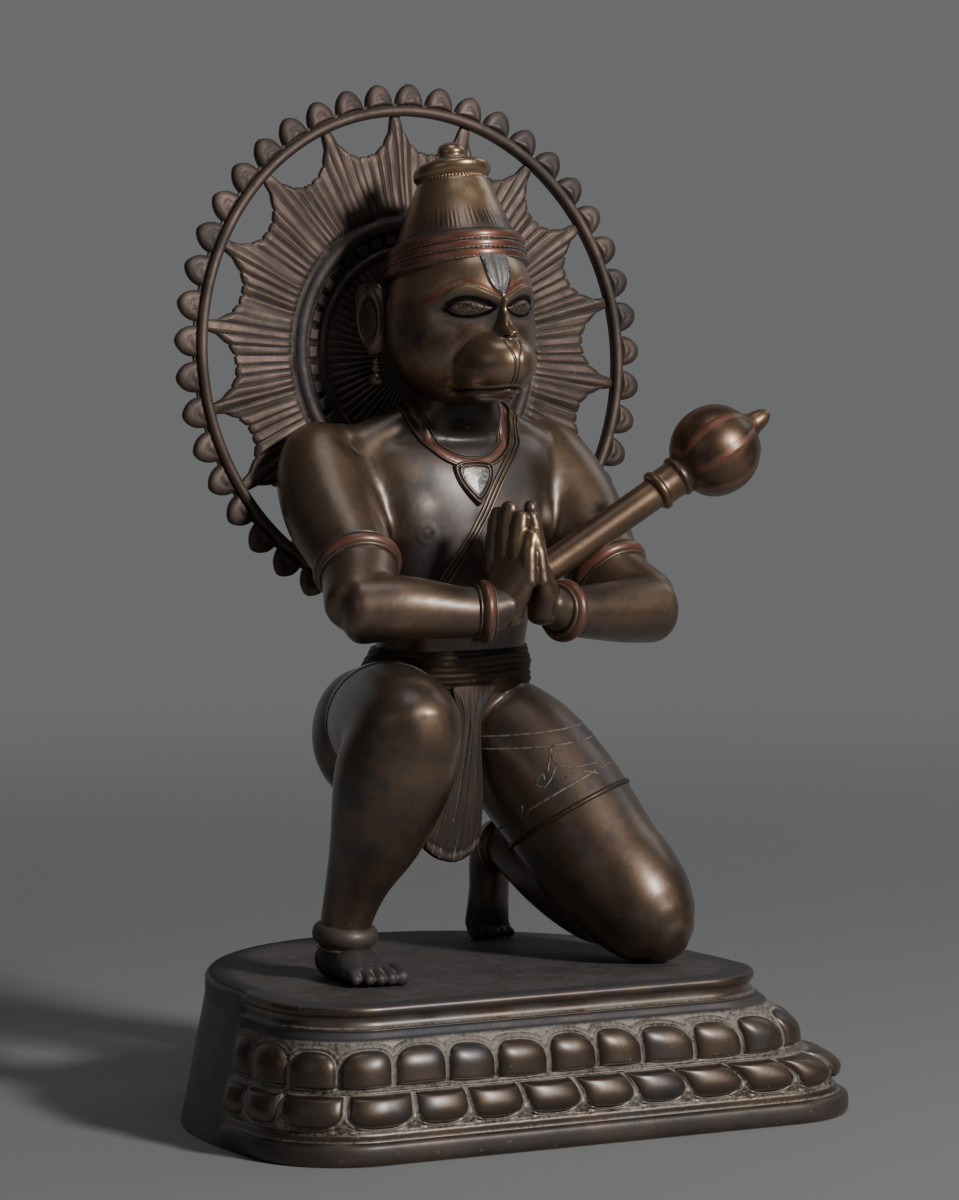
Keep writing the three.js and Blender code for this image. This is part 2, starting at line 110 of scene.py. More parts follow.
def unit(v):
    """Each vector divided by its length."""
    return v / np.maximum(np.linalg.norm(v, axis=-1, keepdims=True), 1e-9)


def catmull_rom(a, b, c, d, f):
    """From b at f = 0 to c at f = 1, with half of c - a and half of d - b as the slopes there."""
    return 0.5 * (2 * b + (c - a) * f + (2 * a - 5 * b + 4 * c - d) * f**2 + (3 * b - a - 3 * c + d) * f**3)


def spline(values, u):
    """Smooth curve through the rows of values at the places u, where row k is met at u = k."""
    v = np.asarray(values, float)
    v = np.concatenate([2 * v[:1] - v[1:2], v, 2 * v[-1:] - v[-2:-1]])
    k = np.clip(np.floor(u).astype(int), 0, len(v) - 4)
    return catmull_rom(v[k], v[k + 1], v[k + 2], v[k + 3], (u - k)[:, None])


def loop_spline(values, u):
    """The same curve through a closed round of rows; u runs from 0 to their number."""
    v = np.asarray(values, float)
    k = np.floor(u).astype(int)
    return catmull_rom(*(v[(k + s) % len(v)] for s in (-1, 0, 1, 2)), (u - k)[:, None])


def curve(points, steps=8):
    """The smooth curve through a few points, with so many straight pieces from each to the next."""
    return spline(points, np.linspace(0, len(points) - 1, (len(points) - 1) * steps + 1))


def to_path(x, y, path):
    """Distance in a plane from each point to a line of straight pieces, and the share of the line there."""
    path = np.asarray(path, float)
    best = np.full(np.shape(x), 1e9)
    share = np.zeros(np.shape(x))
    pieces = len(path) - 1
    for k in range(pieces):
        (ax, ay), (bx, by) = path[k], path[k + 1]
        length2 = (bx - ax) ** 2 + (by - ay) ** 2
        t = np.clip(((x - ax) * (bx - ax) + (y - ay) * (by - ay)) / length2, 0, 1)
        distance = np.hypot(x - ax - t * (bx - ax), y - ay - t * (by - ay))
        nearer = distance < best
        best = np.where(nearer, distance, best)
        share = np.where(nearer, (k + t) / pieces, share)
    return best, share


# Closed skins in millimetres


class Skin:
    """Points, four-sided and three-sided faces, and named numbers for each point."""

    def __init__(self, points, quads, triangles=None, marks=None):
        self.points = points
        self.quads = quads
        self.triangles = np.zeros((0, 3), int) if triangles is None else triangles
        self.marks = dict(marks or {})

    def fans(self):
        q = self.quads
        return np.concatenate([q[:, [0, 1, 2]], q[:, [0, 2, 3]], self.triangles])

    def outward(self):
        """Turns every face round if the skin's volume, the sum of a . (b x c) / 6, comes out negative."""
        a, b, c = (self.points[self.fans()[:, k]] for k in range(3))
        if np.einsum("ij,ij->i", a, np.cross(b, c)).sum() < 0:
            self.quads = self.quads[:, ::-1]
            self.triangles = self.triangles[:, ::-1]
        return self

    def edges(self):
        pairs = [self.quads[:, [k, (k + 1) % 4]] for k in range(4)]
        pairs += [self.triangles[:, [k, (k + 1) % 3]] for k in range(3)]
        return np.unique(np.sort(np.concatenate(pairs), axis=1), axis=0)

    def normals(self):
        """Each point's normal: the sum of its faces' normals, each as long as twice the face's area."""
        f = self.fans()
        a, b, c = (self.points[f[:, k]] for k in range(3))
        n = np.cross(b - a, c - a)
        totals = [sum(np.bincount(corner, along, len(self.points)) for corner in f.T) for along in n.T]
        return unit(np.stack(totals, -1))


def joined(skins):
    """Several skins as one."""
    starts = np.cumsum([0] + [len(s.points) for s in skins])
    names = sorted(set(n for s in skins for n in s.marks))
    marks = {n: np.concatenate([s.marks.get(n, np.zeros(len(s.points))) for s in skins]) for n in names}
    return Skin(
        np.concatenate([s.points for s in skins]),
        np.concatenate([s.quads + k for s, k in zip(skins, starts)]),
        np.concatenate([s.triangles + k for s, k in zip(skins, starts)]),
        marks,
    )


def marked(skin, **marks):
    """The skin with one number for all its points under each name."""
    for name, value in marks.items():
        skin.marks[name] = np.full(len(skin.points), float(value))
    return skin


def capped(rings, start=None, end=None, marks=None):
    """Skin over rings of equal count, closed by a fan of triangles on a middle point at each end."""
    m, n = rings.shape[:2]
    index = np.arange(m * n).reshape(m, n)
    low, high = index[:-1], index[1:]
    quads = np.stack([low, np.roll(low, -1, 1), np.roll(high, -1, 1), high], -1).reshape(-1, 4)
    start = rings[0].mean(0) if start is None else start
    end = rings[-1].mean(0) if end is None else end
    first = np.stack([np.full(n, m * n), np.roll(index[0], -1), index[0]], -1)
    last = np.stack([np.full(n, m * n + 1), index[-1], np.roll(index[-1], -1)], -1)
    points = np.concatenate([rings.reshape(-1, 3), [start, end]])
    full = {}
    for name, value in (marks or {}).items():
        full[name] = np.concatenate([value.ravel(), [value[0].mean(), value[-1].mean()]])
    return Skin(points, quads, np.concatenate([first, last]), full).outward()


def hoop(rings, marks=None):
    """Skin over a closed round of closed rings."""
    m, n = rings.shape[:2]
    index = np.arange(m * n).reshape(m, n)
    after = np.roll(index, -1, 0)
    quads = np.stack([index, np.roll(index, -1, 1), np.roll(after, -1, 1), after], -1).reshape(-1, 4)
    full = {name: value.ravel() for name, value in (marks or {}).items()}
    return Skin(rings.reshape(-1, 3), quads, None, full).outward()


def limb(stations, side=(1, 0, 0), columns=64, steps=10, dome=0.6):
    """Elliptical section carried along the smooth path through stations (x, y, z, half width, half depth),
    with both ends domed: rows shrink as the cosine of an angle while they move out as its sine."""
    line = curve(stations, steps)
    along = unit(np.gradient(line[:, :3], axis=0))
    angles = np.radians([80, 68, 54, 40, 26, 12])[:, None]
    head = dome * min(line[0, 3:])
    tail = dome * min(line[-1, 3:])
    centre = np.concatenate([
        line[:1, :3] - along[:1] * head * np.sin(angles),
        line[:, :3],
        line[-1:, :3] + along[-1:] * tail * np.sin(angles[::-1]),
    ])
    size = np.concatenate([line[:1, 3:] * np.cos(angles), line[:, 3:], line[-1:, 3:] * np.cos(angles[::-1])])
    added = len(angles)
    along = np.concatenate([np.repeat(along[:1], added, 0), along, np.repeat(along[-1:], added, 0)])
    side = np.asarray(side, float)
    wide = unit(side - along * (along @ side)[:, None])
    deep = np.cross(along, wide)
    turn = full_turn(columns)
    rings = (
        centre[:, None]
        + wide[:, None] * (size[:, 0, None] * np.cos(turn))[..., None]
        + deep[:, None] * (size[:, 1, None] * np.sin(turn))[..., None]
    )
    return capped(rings, line[0, :3] - along[0] * head, line[-1, :3] + along[-1] * tail)


def ball(centre, rx, ry, rz):
    """Ellipsoid: latitude rows of cosine radius, sine height."""
    lat = np.radians(np.linspace(-88, 88, 26))[:, None]
    lon = full_turn(48)
    globe = np.stack([np.cos(lat) * np.cos(lon), np.cos(lat) * np.sin(lon), np.sin(lat) + 0 * lon], -1)
    c = np.asarray(centre, float)
    return capped(c + globe * [rx, ry, rz], c - [0, 0, rz], c + [0, 0, rz])


def basis(axis, hint=(1, 0, 0)):
    """Two unit vectors square to an axis and to each other, the first as near the hint as may be."""
    axis = unit(np.asarray(axis, float))
    hint = np.asarray(hint, float)
    across = unit(hint - axis * (axis @ hint))
    return axis, across, np.cross(axis, across)


def turned(profile, foot, axis, columns, hint=(1, 0, 0), lift=0, marks=None):
    """Turned form: radius and height along the axis from profile rows, plus a lift by row and angle."""
    p = np.asarray(profile, float)
    axis, across, over = basis(axis, hint)
    turn = full_turn(columns)
    r = p[:, 0, None] + 0 * turn + lift
    rings = (
        np.asarray(foot, float)
        + axis * p[:, 1, None, None]
        + across * (r * np.cos(turn))[..., None]
        + over * (r * np.sin(turn))[..., None]
    )
    return capped(rings, marks=marks)


def tube(path, up, wide, deep, columns, closed=False):
    """Elliptical cord along a path: half width lies across the path in the surface, half depth along up."""
    if closed:
        along = unit(np.roll(path, -1, 0) - np.roll(path, 1, 0))
    else:
        along = unit(np.gradient(path, axis=0))
    up = unit(up - along * np.einsum("ij,ij->i", up, along)[:, None])
    across = np.cross(along, up)
    turn = full_turn(columns)[:, None]
    rings = path[:, None] + across[:, None] * (wide * np.cos(turn)) + up[:, None] * (deep * np.sin(turn))
    return hoop(rings) if closed else capped(rings)


RING_COLUMNS = 96


def ring(centre, axis, radius, section, hint=(1, 0, 0)):
    """A closed section of (out, along) points carried round an axis at a radius."""
    axis, across, over = basis(axis, hint)
    turn = full_turn(RING_COLUMNS)[:, None]
    outward = across * np.cos(turn) + over * np.sin(turn)
    rings = np.asarray(centre, float) + outward[:, None] * (radius + section[:, :1]) + axis * section[:, 1:]
    return hoop(rings)


def oval_section(out, along, points):
    """The ellipse out * cosine, along * sine."""
    t = full_turn(points)
    return np.stack([out * np.cos(t), along * np.sin(t)], -1)


# Cast forms: closed forms run together under one rounded skin


def link_counts(edges, count):
    """How many neighbours each point has."""
    return np.bincount(edges.ravel(), minlength=count).astype(float)


def neighbour_mean(values, edges, links):
    """For each point, the mean of its neighbours' values."""
    one, other = edges.T
    n = len(values)
    totals = [np.bincount(one, v[other], n) + np.bincount(other, v[one], n) for v in values.T]
    return np.stack(totals, -1) / links[:, None]


def rounded_off(points, edges, rounds, keep, share=1.0):
    """Each round moves a point half way to its neighbours' mean, then back by keep, so bulk stays. The
    share says how much of this each point takes."""
    links = link_counts(edges, len(points))
    share = np.reshape(share, (-1, 1))
    for _ in range(rounds):
        for step in (0.5, -keep):
            points = points + (neighbour_mean(points, edges, links) - points) * step * share
    return points


def numbers(items, name, width=1, kind=int):
    """One property of all the items of a mesh, as an array."""
    values = np.zeros(len(items) * width, kind)
    items.foreach_get(name, values)
    return values


def cast(skins, voxel, rounds, keep=0.53):
    """Runs closed skins together: a voxel remesh of their union, then rounding off."""
    raw = mesh_of("raw", joined(skins))
    holder = placed("raw", raw)
    remesh = holder.modifiers.new("remesh", "REMESH")
    remesh.mode = "VOXEL"
    remesh.voxel_size = voxel * MM
    remesh.adaptivity = 0
    made = holder.evaluated_get(bpy.context.evaluated_depsgraph_get()).to_mesh()
    points = numbers(made.vertices, "co", 3, float).reshape(-1, 3) / MM
    loops = numbers(made.loops, "vertex_index")
    sizes = numbers(made.polygons, "loop_total")
    starts = numbers(made.polygons, "loop_start")
    quads = loops[starts[sizes == 4][:, None] + np.arange(4)]
    triangles = loops[starts[sizes == 3][:, None] + np.arange(3)]
    bpy.data.objects.remove(holder)
    bpy.data.meshes.remove(raw)
    skin = Skin(points, quads, triangles).outward()
    skin.points = rounded_off(skin.points, skin.edges(), rounds, keep)
    return skin


def hollows(skin, rounds=6, scale=0.25):
    """How deep each point lies in a hollow, up to 1, or stands on a ridge, down to -1: the way along its
    normal to the skin's rounded form, over the scale in millimetres."""
    edges = skin.edges()
    links = link_counts(edges, len(skin.points))
    points = skin.points
    for _ in range(rounds):
        points = points + (neighbour_mean(points, edges, links) - points) * 0.6
    depth = np.einsum("ij,ij->i", points - skin.points, skin.normals()) / scale
    return np.clip(depth, -1, 1)


# Meshes and pieces


def mesh_of(name, skin):
    """The skin as a Blender mesh in metres, smooth shaded, with its numbers as attributes."""
    mesh = bpy.data.meshes.new(name)
    mesh.vertices.add(len(skin.points))
    mesh.vertices.foreach_set("co", (skin.points * MM).astype(np.float32).ravel())
    loops = np.concatenate([skin.quads.ravel(), skin.triangles.ravel()]).astype(np.int32)
    q, t = len(skin.quads), len(skin.triangles)
    starts = np.concatenate([np.arange(q) * 4, q * 4 + np.arange(t) * 3]).astype(np.int32)
    mesh.loops.add(len(loops))
    mesh.loops.foreach_set("vertex_index", loops)
    mesh.polygons.add(len(starts))
    mesh.polygons.foreach_set("loop_start", starts)
    mesh.polygons.foreach_set("use_smooth", np.ones(len(starts), bool))
    mesh.update(calc_edges=True)
    mesh.validate()
    for key, value in skin.marks.items():
        attribute = mesh.attributes.new(key, "FLOAT", "POINT")
        attribute.data.foreach_set("value", np.asarray(value, np.float32))
    return mesh


def piece(name, skin, finish, slot, *nodes, rounds=6, scale=0.25):
    """One visible piece: a mesh at the origin that rides with the only body and stands for CAD nodes."""
    skin.marks["hollow"] = hollows(skin, rounds, scale)
    mesh = mesh_of(name, skin)
    mesh.materials.append(finish)
    obj = placed(name, mesh)
    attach(obj, "root")
    if nodes:
        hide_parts(*nodes)


# Shader sums


class Value:
    """A number that varies over a surface: a socket whose Python arithmetic adds Math nodes."""

    def __init__(self, board, socket):
        self.board = board
        self.socket = socket

    def __add__(self, other):
        return self.board.math("ADD", self, other)

    __radd__ = __add__

    def __sub__(self, other):
        return self.board.math("SUBTRACT", self, other)

    def __rsub__(self, other):
        return self.board.math("SUBTRACT", other, self)

    def __mul__(self, other):
        return self.board.math("MULTIPLY", self, other)

    __rmul__ = __mul__

    def held(self):
        """Kept from 0 to 1."""
        return self.board.math("MAXIMUM", self.board.math("MINIMUM", self, 1.0), 0.0)

    def between(self, low, high):
        """0 below low and 1 above high, with a soft step between."""
        return self.board.node(
            "ShaderNodeMapRange", {"interpolation_type": "SMOOTHSTEP"},
            {"Value": self, "From Min": low, "From Max": high, "To Min": 0.0, "To Max": 1.0},
        )


class Board:
    """The nodes of one material."""

    def __init__(self, name):
        self.material = bpy.data.materials.new(name)
        self.material.use_nodes = True
        self.tree = self.material.node_tree
        self.tree.nodes.clear()

    def node(self, kind, settings=None, values=None, output=0):
        """Adds a node: its settings first, then the values or links of its sockets."""
        made = self.tree.nodes.new(kind)
        for key, value in (settings or {}).items():
            setattr(made, key, value)
        for key, value in (values or {}).items():
            socket = made.inputs[key]
            if isinstance(value, Value):
                self.tree.links.new(value.socket, socket)
            else:
                socket.default_value = value
        return Value(self, made.outputs[output])

    def math(self, operation, a, b):
        return self.node("ShaderNodeMath", {"operation": operation}, {0: a, 1: b})

    def mark(self, name):
        return self.node("ShaderNodeAttribute", {"attribute_name": name}, output=2)

    def place(self):
        return self.node("ShaderNodeTexCoord", output=3)

    def noise(self, place, scale, detail, rough=0.55):
        values = {"Vector": place, "Scale": scale, "Detail": detail, "Roughness": rough}
        return self.node("ShaderNodeTexNoise", {}, values)

    def stretched(self, place, scale, turn):
        return self.node("ShaderNodeMapping", {}, {"Vector": place, "Scale": scale, "Rotation": turn})

    def mix(self, factor, a, b):
        """Colour a where the factor is 0, colour b where it is 1."""
        a, b = ((*c, 1) if isinstance(c, tuple) else c for c in (a, b))
        return self.node("ShaderNodeMix", {"data_type": "RGBA"}, {0: factor, 6: a, 7: b}, output=2)

    def bump(self, height, strength, distance):
        return self.node("ShaderNodeBump", {}, {"Height": height, "Strength": strength, "Distance": distance})

    def finish(self, varied, fixed):
        """Closes the board on a Principled shader: linked values first, then the numbers that never vary."""
        self.node("ShaderNodeBsdfPrincipled", {}, {**varied, **fixed})
        shader = self.tree.nodes[-1]
        out = self.tree.nodes.new("ShaderNodeOutputMaterial")
        self.tree.links.new(shader.outputs[0], out.inputs[0])
        return self.material


# Colours of the metals and of what lies on them

BROWN = (0.104, 0.063, 0.039)
DARK = (0.026, 0.019, 0.015)
WARM = (0.195, 0.119, 0.067)
RUBBED = (0.310, 0.192, 0.102)
BRASS = (0.470, 0.312, 0.156)
SLATE = (0.052, 0.052, 0.060)
BLOOM = (0.105, 0.107, 0.120)
COPPER = (0.235, 0.072, 0.043)
SILVER = (0.290, 0.275, 0.265)
GOLDEN = (0.350, 0.245, 0.155)
DUST = (0.340, 0.295, 0.245)
BLACK = (0.006, 0.005, 0.005)
PITTED = (0.060, 0.045, 0.036)


def bronze(name, light, slate, rough, brass, coat, dusty=0.0, hue=(1, 1, 1), wax=0.31):
    """Waxed dark bronze: brown and warm clouds, dark mottling, slate bloom in patches; warmer on ridges,
    darkened in hollows, as the dark patina kept there and as painted shade, and dusty there where asked;
    specks of dust, fine scratches and pits in the bump; slate bloom, dust and black by attribute, in places
    standing for painted sheen and painted shade; inlaid copper and silver by attribute, under a thin clear
    wax. The numbers are how light the browns are, how much slate, how rough, how much brass on ridges, how
    much wax, how much dust in hollows, and the wax's own roughness."""
    board = Board(name)
    browns = (BROWN, WARM, RUBBED)
    brown, warmer, rubbed = (tuple(c * light * h for c, h in zip(tone, hue)) for tone in browns)
    place = board.place()
    hollow = board.mark("hollow")
    cloud = board.noise(place, 19.0, 4.0)
    patch = board.noise(place, 60.0, 5.0, 0.66)
    fleck = board.noise(place, 210.0, 4.0, 0.7)
    grain = board.noise(place, 700.0, 2.0, 0.6)
    scratch = board.noise(board.stretched(place, (900.0, 900.0, 90.0), (0.5, 0.9, 0.2)), 1.0, 2.0)
    warm = board.mark("warm")
    colour = board.mix(cloud.between(0.36, 0.62), brown, warmer)
    colour = board.mix((warm * (0.45 + patch * 0.9)).held(), colour, rubbed)
    colour = board.mix(patch.between(0.46, 0.70) * (0.6 - warm * 0.3), colour, DARK)
    misty = (cloud * 0.6 + patch * 0.4).between(0.50, 0.62)
    colour = board.mix(misty * (slate - warm * slate), colour, SLATE)
    colour = board.mix(fleck.between(0.52, 0.70) * 0.40, colour, DARK)
    ridge = (0 - hollow).between(0.10, 0.75)
    colour = board.mix((ridge * (patch * 0.8 + 0.5)).held() * brass, colour, BRASS)
    # painted shade: points deep in hollows are blackened, partly the dark patina kept in them and partly
    # standing for the shade that falls there
    hollow_patina_and_shade = hollow.between(0.10, 0.8)
    colour = board.mix(hollow_patina_and_shade * 0.85, colour, BLACK)
    metallic = 0.88 - hollow_patina_and_shade * 0.3 - fleck.between(0.5, 0.7) * 0.2
    roughness = patch * 0.20 + fleck * 0.12 + (rough - 0.16) + hollow_patina_and_shade * 0.2 + scratch.between(0.55, 0.75) * 0.05
    if dusty:
        in_hollows = hollow.between(0.02, 0.45) * patch.between(0.35, 0.62) * 0.8
        lying = (in_hollows + grain.between(0.66, 0.74) * 0.10).held()
        colour = board.mix(lying * dusty, colour, DUST)
        metallic = metallic - lying * dusty * 0.6
        roughness = roughness + lying * dusty * 0.3
    worn = patch.between(0.40, 0.62)
    # slate bloom by attribute: patina, which on the thighs, the plinth's top and the halo's hoop also paints
    # a grey sheen
    bloom = (board.mark("slate") * (0.35 + patch * 0.7)).held()
    colour = board.mix(bloom, colour, BLOOM)
    metallic = metallic - bloom * 0.35
    roughness = roughness + bloom * 0.22
    brassy = (board.mark("brass") * (0.45 + worn * 0.55)).held()
    colour = board.mix(brassy * 0.8, colour, BRASS)
    roughness = roughness - brassy * 0.12
    copper = board.mark("copper").between(0.3, 0.7)
    colour = board.mix(copper * (0.95 - worn * 0.5), colour, COPPER)
    roughness = roughness + copper * 0.10
    silver = board.mark("silver").between(0.3, 0.7)
    speck = board.noise(place, 900.0, 2.0).between(0.40, 0.56)
    tone = board.mix(speck * (0.85 - bloom * 0.7), board.mix(warm, SILVER, GOLDEN), PITTED)
    colour = board.mix(silver, colour, tone)
    # the dark attribute blackens lines and small marks, and paints shade in the armpit creases and a shadow
    # under the chin
    dark = board.mark("dark").between(0.25, 0.75)
    colour = board.mix(dark * 0.9, colour, BLACK)
    pale = board.mark("pale").between(0.25, 0.75)
    dots = board.noise(place, 480.0, 1.0).between(0.72, 0.77)
    # dust from the pale attribute; on the plinth's top it is also a painted sheen
    settled = (pale * (grain.between(0.36, 0.56) * 0.55 + worn * 0.35) + dots * 0.3).held()
    colour = board.mix(settled, colour, DUST)
    metallic = (metallic - settled * 0.5 - copper * 0.25).held()
    waxed = (coat * (0.75 + patch * 0.5) - hollow_patina_and_shade * 0.4 - settled * 0.5 - dark * 0.4 - bloom * 1.5).held()
    height = grain * 0.35 + scratch * 0.40 + patch * 0.4 + fleck * 0.5
    normal = board.bump(height, 0.22, 0.00035)
    return board.finish({
        "Base Color": colour, "Metallic": metallic, "Roughness": roughness, "Coat Weight": waxed,
        "Normal": normal,
    }, {"Coat Roughness": wax, "Coat IOR": 1.6})


skin_bronze = bronze(
    "figure bronze", light=0.95, slate=0.60, rough=0.47, brass=0.12, coat=1.0, hue=(1.0, 1.02, 1.12)
)
# painted highlight: the head and crown take a copy of the figure's bronze made lighter (light 1.5 against
# 0.95), standing for the strong light on them
head_bronze_painted_light = bronze(
    "head bronze painted lighter", light=1.5, slate=0.45, rough=0.38, brass=0.25, coat=1.0, hue=(1.0, 1.03, 1.2), wax=0.22
)
cloth_bronze = bronze("cloth bronze", light=0.5, slate=0.85, rough=0.60, brass=0.05, coat=0.25, dusty=0.20)
plinth_bronze = bronze(
    "plinth bronze", light=0.66, slate=0.80, rough=0.50, brass=0.05, coat=0.85, dusty=1.0,
    hue=(1.0, 1.05, 1.15),
)
halo_bronze = bronze(
    "halo bronze", light=1.08, slate=0.70, rough=0.56, brass=0.12, coat=0.25, dusty=0.55,
    hue=(1.0, 1.14, 1.65),
)
mace_bronze = bronze("mace bronze", light=1.9, slate=0.15, rough=0.42, brass=0.40, coat=0.60, dusty=0.1)


# Trunk, arms and legs

PLINTH_HEIGHT = 58
NIPPLE_ACROSS = 22.6
NIPPLE_UP = 226.6
ARMS = {
    -1: [(-50, 40, 252), (-54.5, 28, 235), (-55, 5, 215), (-63.5, -14, 200), (-47.5, -20, 200.5),
         (-28, -26, 198.5), (-17.5, -29, 198.5)],
    1: [(45, 40, 251), (54, 28, 233), (56.5, 5, 208.5), (65, -14, 195.5), (49, -19, 195.5),
        (28, -26, 196.5), (17.5, -29, 197.5)],
}


def trunk():
    """Seat, waist, chest and neck, with swellings for the chest and the seat, and the neck's slopes."""
    return [
        limb([
            (0, 40, 146, 30, 24), (-1, 36, 160, 33, 23.5), (-1, 32, 172, 33.5, 23), (-1, 28, 183, 31, 20),
            (-0.5, 26, 194, 31.5, 19.5), (0, 25, 210, 34.5, 19.6), (0, 25, 226, 38, 20),
            (0, 28.5, 246, 44, 19), (0, 31.5, 260, 40, 15.5), (0, 30, 269, 26, 14), (0, 27, 277, 17, 15),
            (0, 26, 288, 15.5, 15),
        ], columns=96),
        ball((-17, 22, 230), 23, 14, 22),
        ball((17, 22, 230), 23, 14, 22),
        limb([(-6, 30, 275, 9, 9), (-20, 33, 266, 10, 9), (-36, 36, 255.5, 14, 13)], dome=0.7),
        limb([(6, 30, 275, 9, 9), (20, 33, 266, 10, 9), (35, 36, 254.5, 14, 13)], dome=0.7),
        ball((-32, 42, 145), 21, 25, 27),
        ball((22, 44, 141), 21, 22, 25),
    ]


def arm_points(sign):
    """Shoulder, upper arm, arm ring, elbow, forearm, above the wrist, and wrist."""
    return [np.array(p, float) for p in ARMS[sign]]


def arm(sign):
    """Upper arm and forearm of one side, from the shoulder cap to the wrist, and what fills the armpit."""
    shoulder, upper, band, elbow, fore, low, wrist = arm_points(sign)
    inner = shoulder + [-9 * sign, 1, 7]
    fold = elbow + [0, 2, 2]
    return [
        limb([
            (*inner, 11.5, 11.5), (*shoulder, 19.5, 17), (*upper, 18.8, 18.5), (*band, 15.4, 15.4),
            (*fold, 13, 13),
        ]),
        limb([
            (*elbow, 13.5, 13.5), (*fore, 12.4, 12.4), (*low, 10.3, 10.3), (*wrist, 9.2, 9.2),
            (9 * sign, -30, 201, 7, 9.6),
        ], side=(0, 0, 1)),
        limb([
            (41 * sign, 30, 253, 8, 7), (39.5 * sign, 24.5, 241, 7.5, 7), (38.5 * sign, 21.5, 229, 6.5, 6),
        ]),
    ]


def right_leg():
    """Raised knee: thigh forward, shin down to the ring at the ankle."""
    return [
        limb([
            (-26, 38, 150, 22, 23), (-38, 14, 153, 23.5, 24), (-50, -16, 155, 23, 23.5),
            (-57, -40, 155.5, 21.5, 22.5), (-58, -45, 152.5, 20, 20.5),
        ], dome=0.8),
        limb([
            (-57, -40, 154, 22, 21), (-59.5, -34, 138, 23, 22), (-63, -27, 116, 18.6, 18.4),
            (-68, -20, 96, 12.4, 12.4), (-71, -16, 80, 9.8, 9.8), (-71.5, -15, 70, 9.5, 10.5),
        ]),
    ]


def left_leg():
    """Kneeling side: thigh down to the knee on the plinth, shin lying back to the ankle."""
    return [
        limb([
            (17, 36, 148, 23, 23), (26, 20, 136.5, 26, 26), (35, 5, 119, 26.5, 26.5),
            (43.5, -13, 96.5, 25, 25.5), (47.6, -20.3, 88.8, 24.5, 24.8), (51.8, -28, 80.6, 22.8, 23),
            (55.2, -34, 74.4, 20.2, 20), (57.4, -38, 70.8, 16.8, 16.6), (58.9, -40.7, 68.2, 12.2, 12.2),
        ], dome=0.45),
        limb([
            (49.5, -20, 78, 14, 16), (45, -6, 80, 15.5, 17), (39, 18, 89, 15, 16), (32, 45, 98, 9.5, 10),
            (31, 54, 96, 8.5, 9),
        ]),
        ball((56.6, -36.4, 70.9), 12.6, 12.6, 12.6),
    ]


def body_details(skin):
    """Low relief pushed along the normals: nipples, navel, the chest's middle line and the spine."""
    x, y, z = skin.points.T
    nipple = np.hypot(np.abs(x) - NIPPLE_ACROSS, z - NIPPLE_UP)
    lift = 0.9 * blob(nipple, 0, 1.1) + 0.45 * blob(nipple, 3.0, 0.7) - 0.35 * blob(nipple, 1.9, 0.5)
    lift -= 2.0 * blob(np.hypot(x + 1, (z - 187) * 0.8), 0, 1.7)
    lift -= 0.5 * blob(x, 0, 2.6) * window(z, 196, 206, 228, 238)
    lift *= smooth(26, 18, y)
    lift -= 1.6 * smooth(34, 42, y) * blob(x, 0, 3.2) * window(z, 170, 182, 250, 264)
    skin.points = skin.points + skin.normals() * lift[:, None]


def round_body(skin):
    """Chest, shoulders, knees, hip and armpits are rounded off further, knees and armpits once more."""
    x, y, z = skin.points.T
    side = np.abs(x)
    chest = smooth(58, 40, side) * smooth(36, 26, y) * window(z, 204, 216, 262, 272)
    shoulders = 0.9 * smooth(236, 248, z) * smooth(22, 32, side)
    knees = near(skin.points, (49, -22, 80), 20) + 0.9 * near(skin.points, (-56, -44, 160), 24)
    hip = near(skin.points, (-40, -5, 172), 14)
    armpits = near(np.stack([side, y * 0.6, z * 0.4], -1), (40, 18 * 0.6, 232 * 0.4), 9)
    share = np.max([0.6 * chest, shoulders, 1.4 * knees, hip, 1.3 * armpits], axis=0)
    edges = skin.edges()
    skin.points = rounded_off(skin.points, edges, 80, 0.5, np.clip(share, 0, 1))
    skin.points = rounded_off(skin.points, edges, 90, 0.25, np.clip(1.3 * knees + 1.2 * armpits, 0, 1))


def mark_body(skin):
    """Warm on arms and knees; slate bloom on chest and thighs, on the thighs also a painted grey sheen; dark
    in nipples, with painted shade in the armpit creases and a painted shadow under the chin.
    """
    x, y, z = skin.points.T
    side = np.abs(x)
    fold = hollows(skin, 36, 0.9)
    # painted shade: creases on the chest's sides and at the armpits are darkened where shade falls; painted
    # shadow: the throat under the jaw, which the head shades
    crease_shade_region = window(side, 20, 26, 46, 52) * smooth(36, 30, y) * smooth(204, 212, z)
    neck = smooth(253, 265, z) * smooth(22, 6, side) * smooth(28, 12, y)
    arms = smooth(30, 44, side) * smooth(188, 196, z)
    knees = near(skin.points, (-57, -48, 158), 26) + near(skin.points, (55, -38, 84), 24)
    skin.marks["warm"] = np.clip(0.6 * arms + 0.4 * knees, 0, 1)
    chest = smooth(34, 22, side) * smooth(32, 24, y) * window(z, 196, 210, 256, 268)
    # slate bloom: patina on the chest; on the thighs it also paints a grey sheen
    thighs = 0.35 * near(skin.points, (-50, -30, 180), 16) + 0.45 * near(skin.points, (32, -10, 136), 26)
    skin.marks["slate"] = 0.62 * chest + thighs
    nipple = np.hypot(side - NIPPLE_ACROSS, z - NIPPLE_UP)
    nipples = smooth(26, 18, y) * (blob(nipple, 2.1, 0.6) + blob(nipple, 0, 0.5))
    # dark marks: the nipples, plus painted shade in the creases and a painted shadow on the throat
    skin.marks["dark"] = 0.55 * nipples + 0.5 * smooth(0.0, 0.5, fold) * crease_shade_region + 0.75 * neck


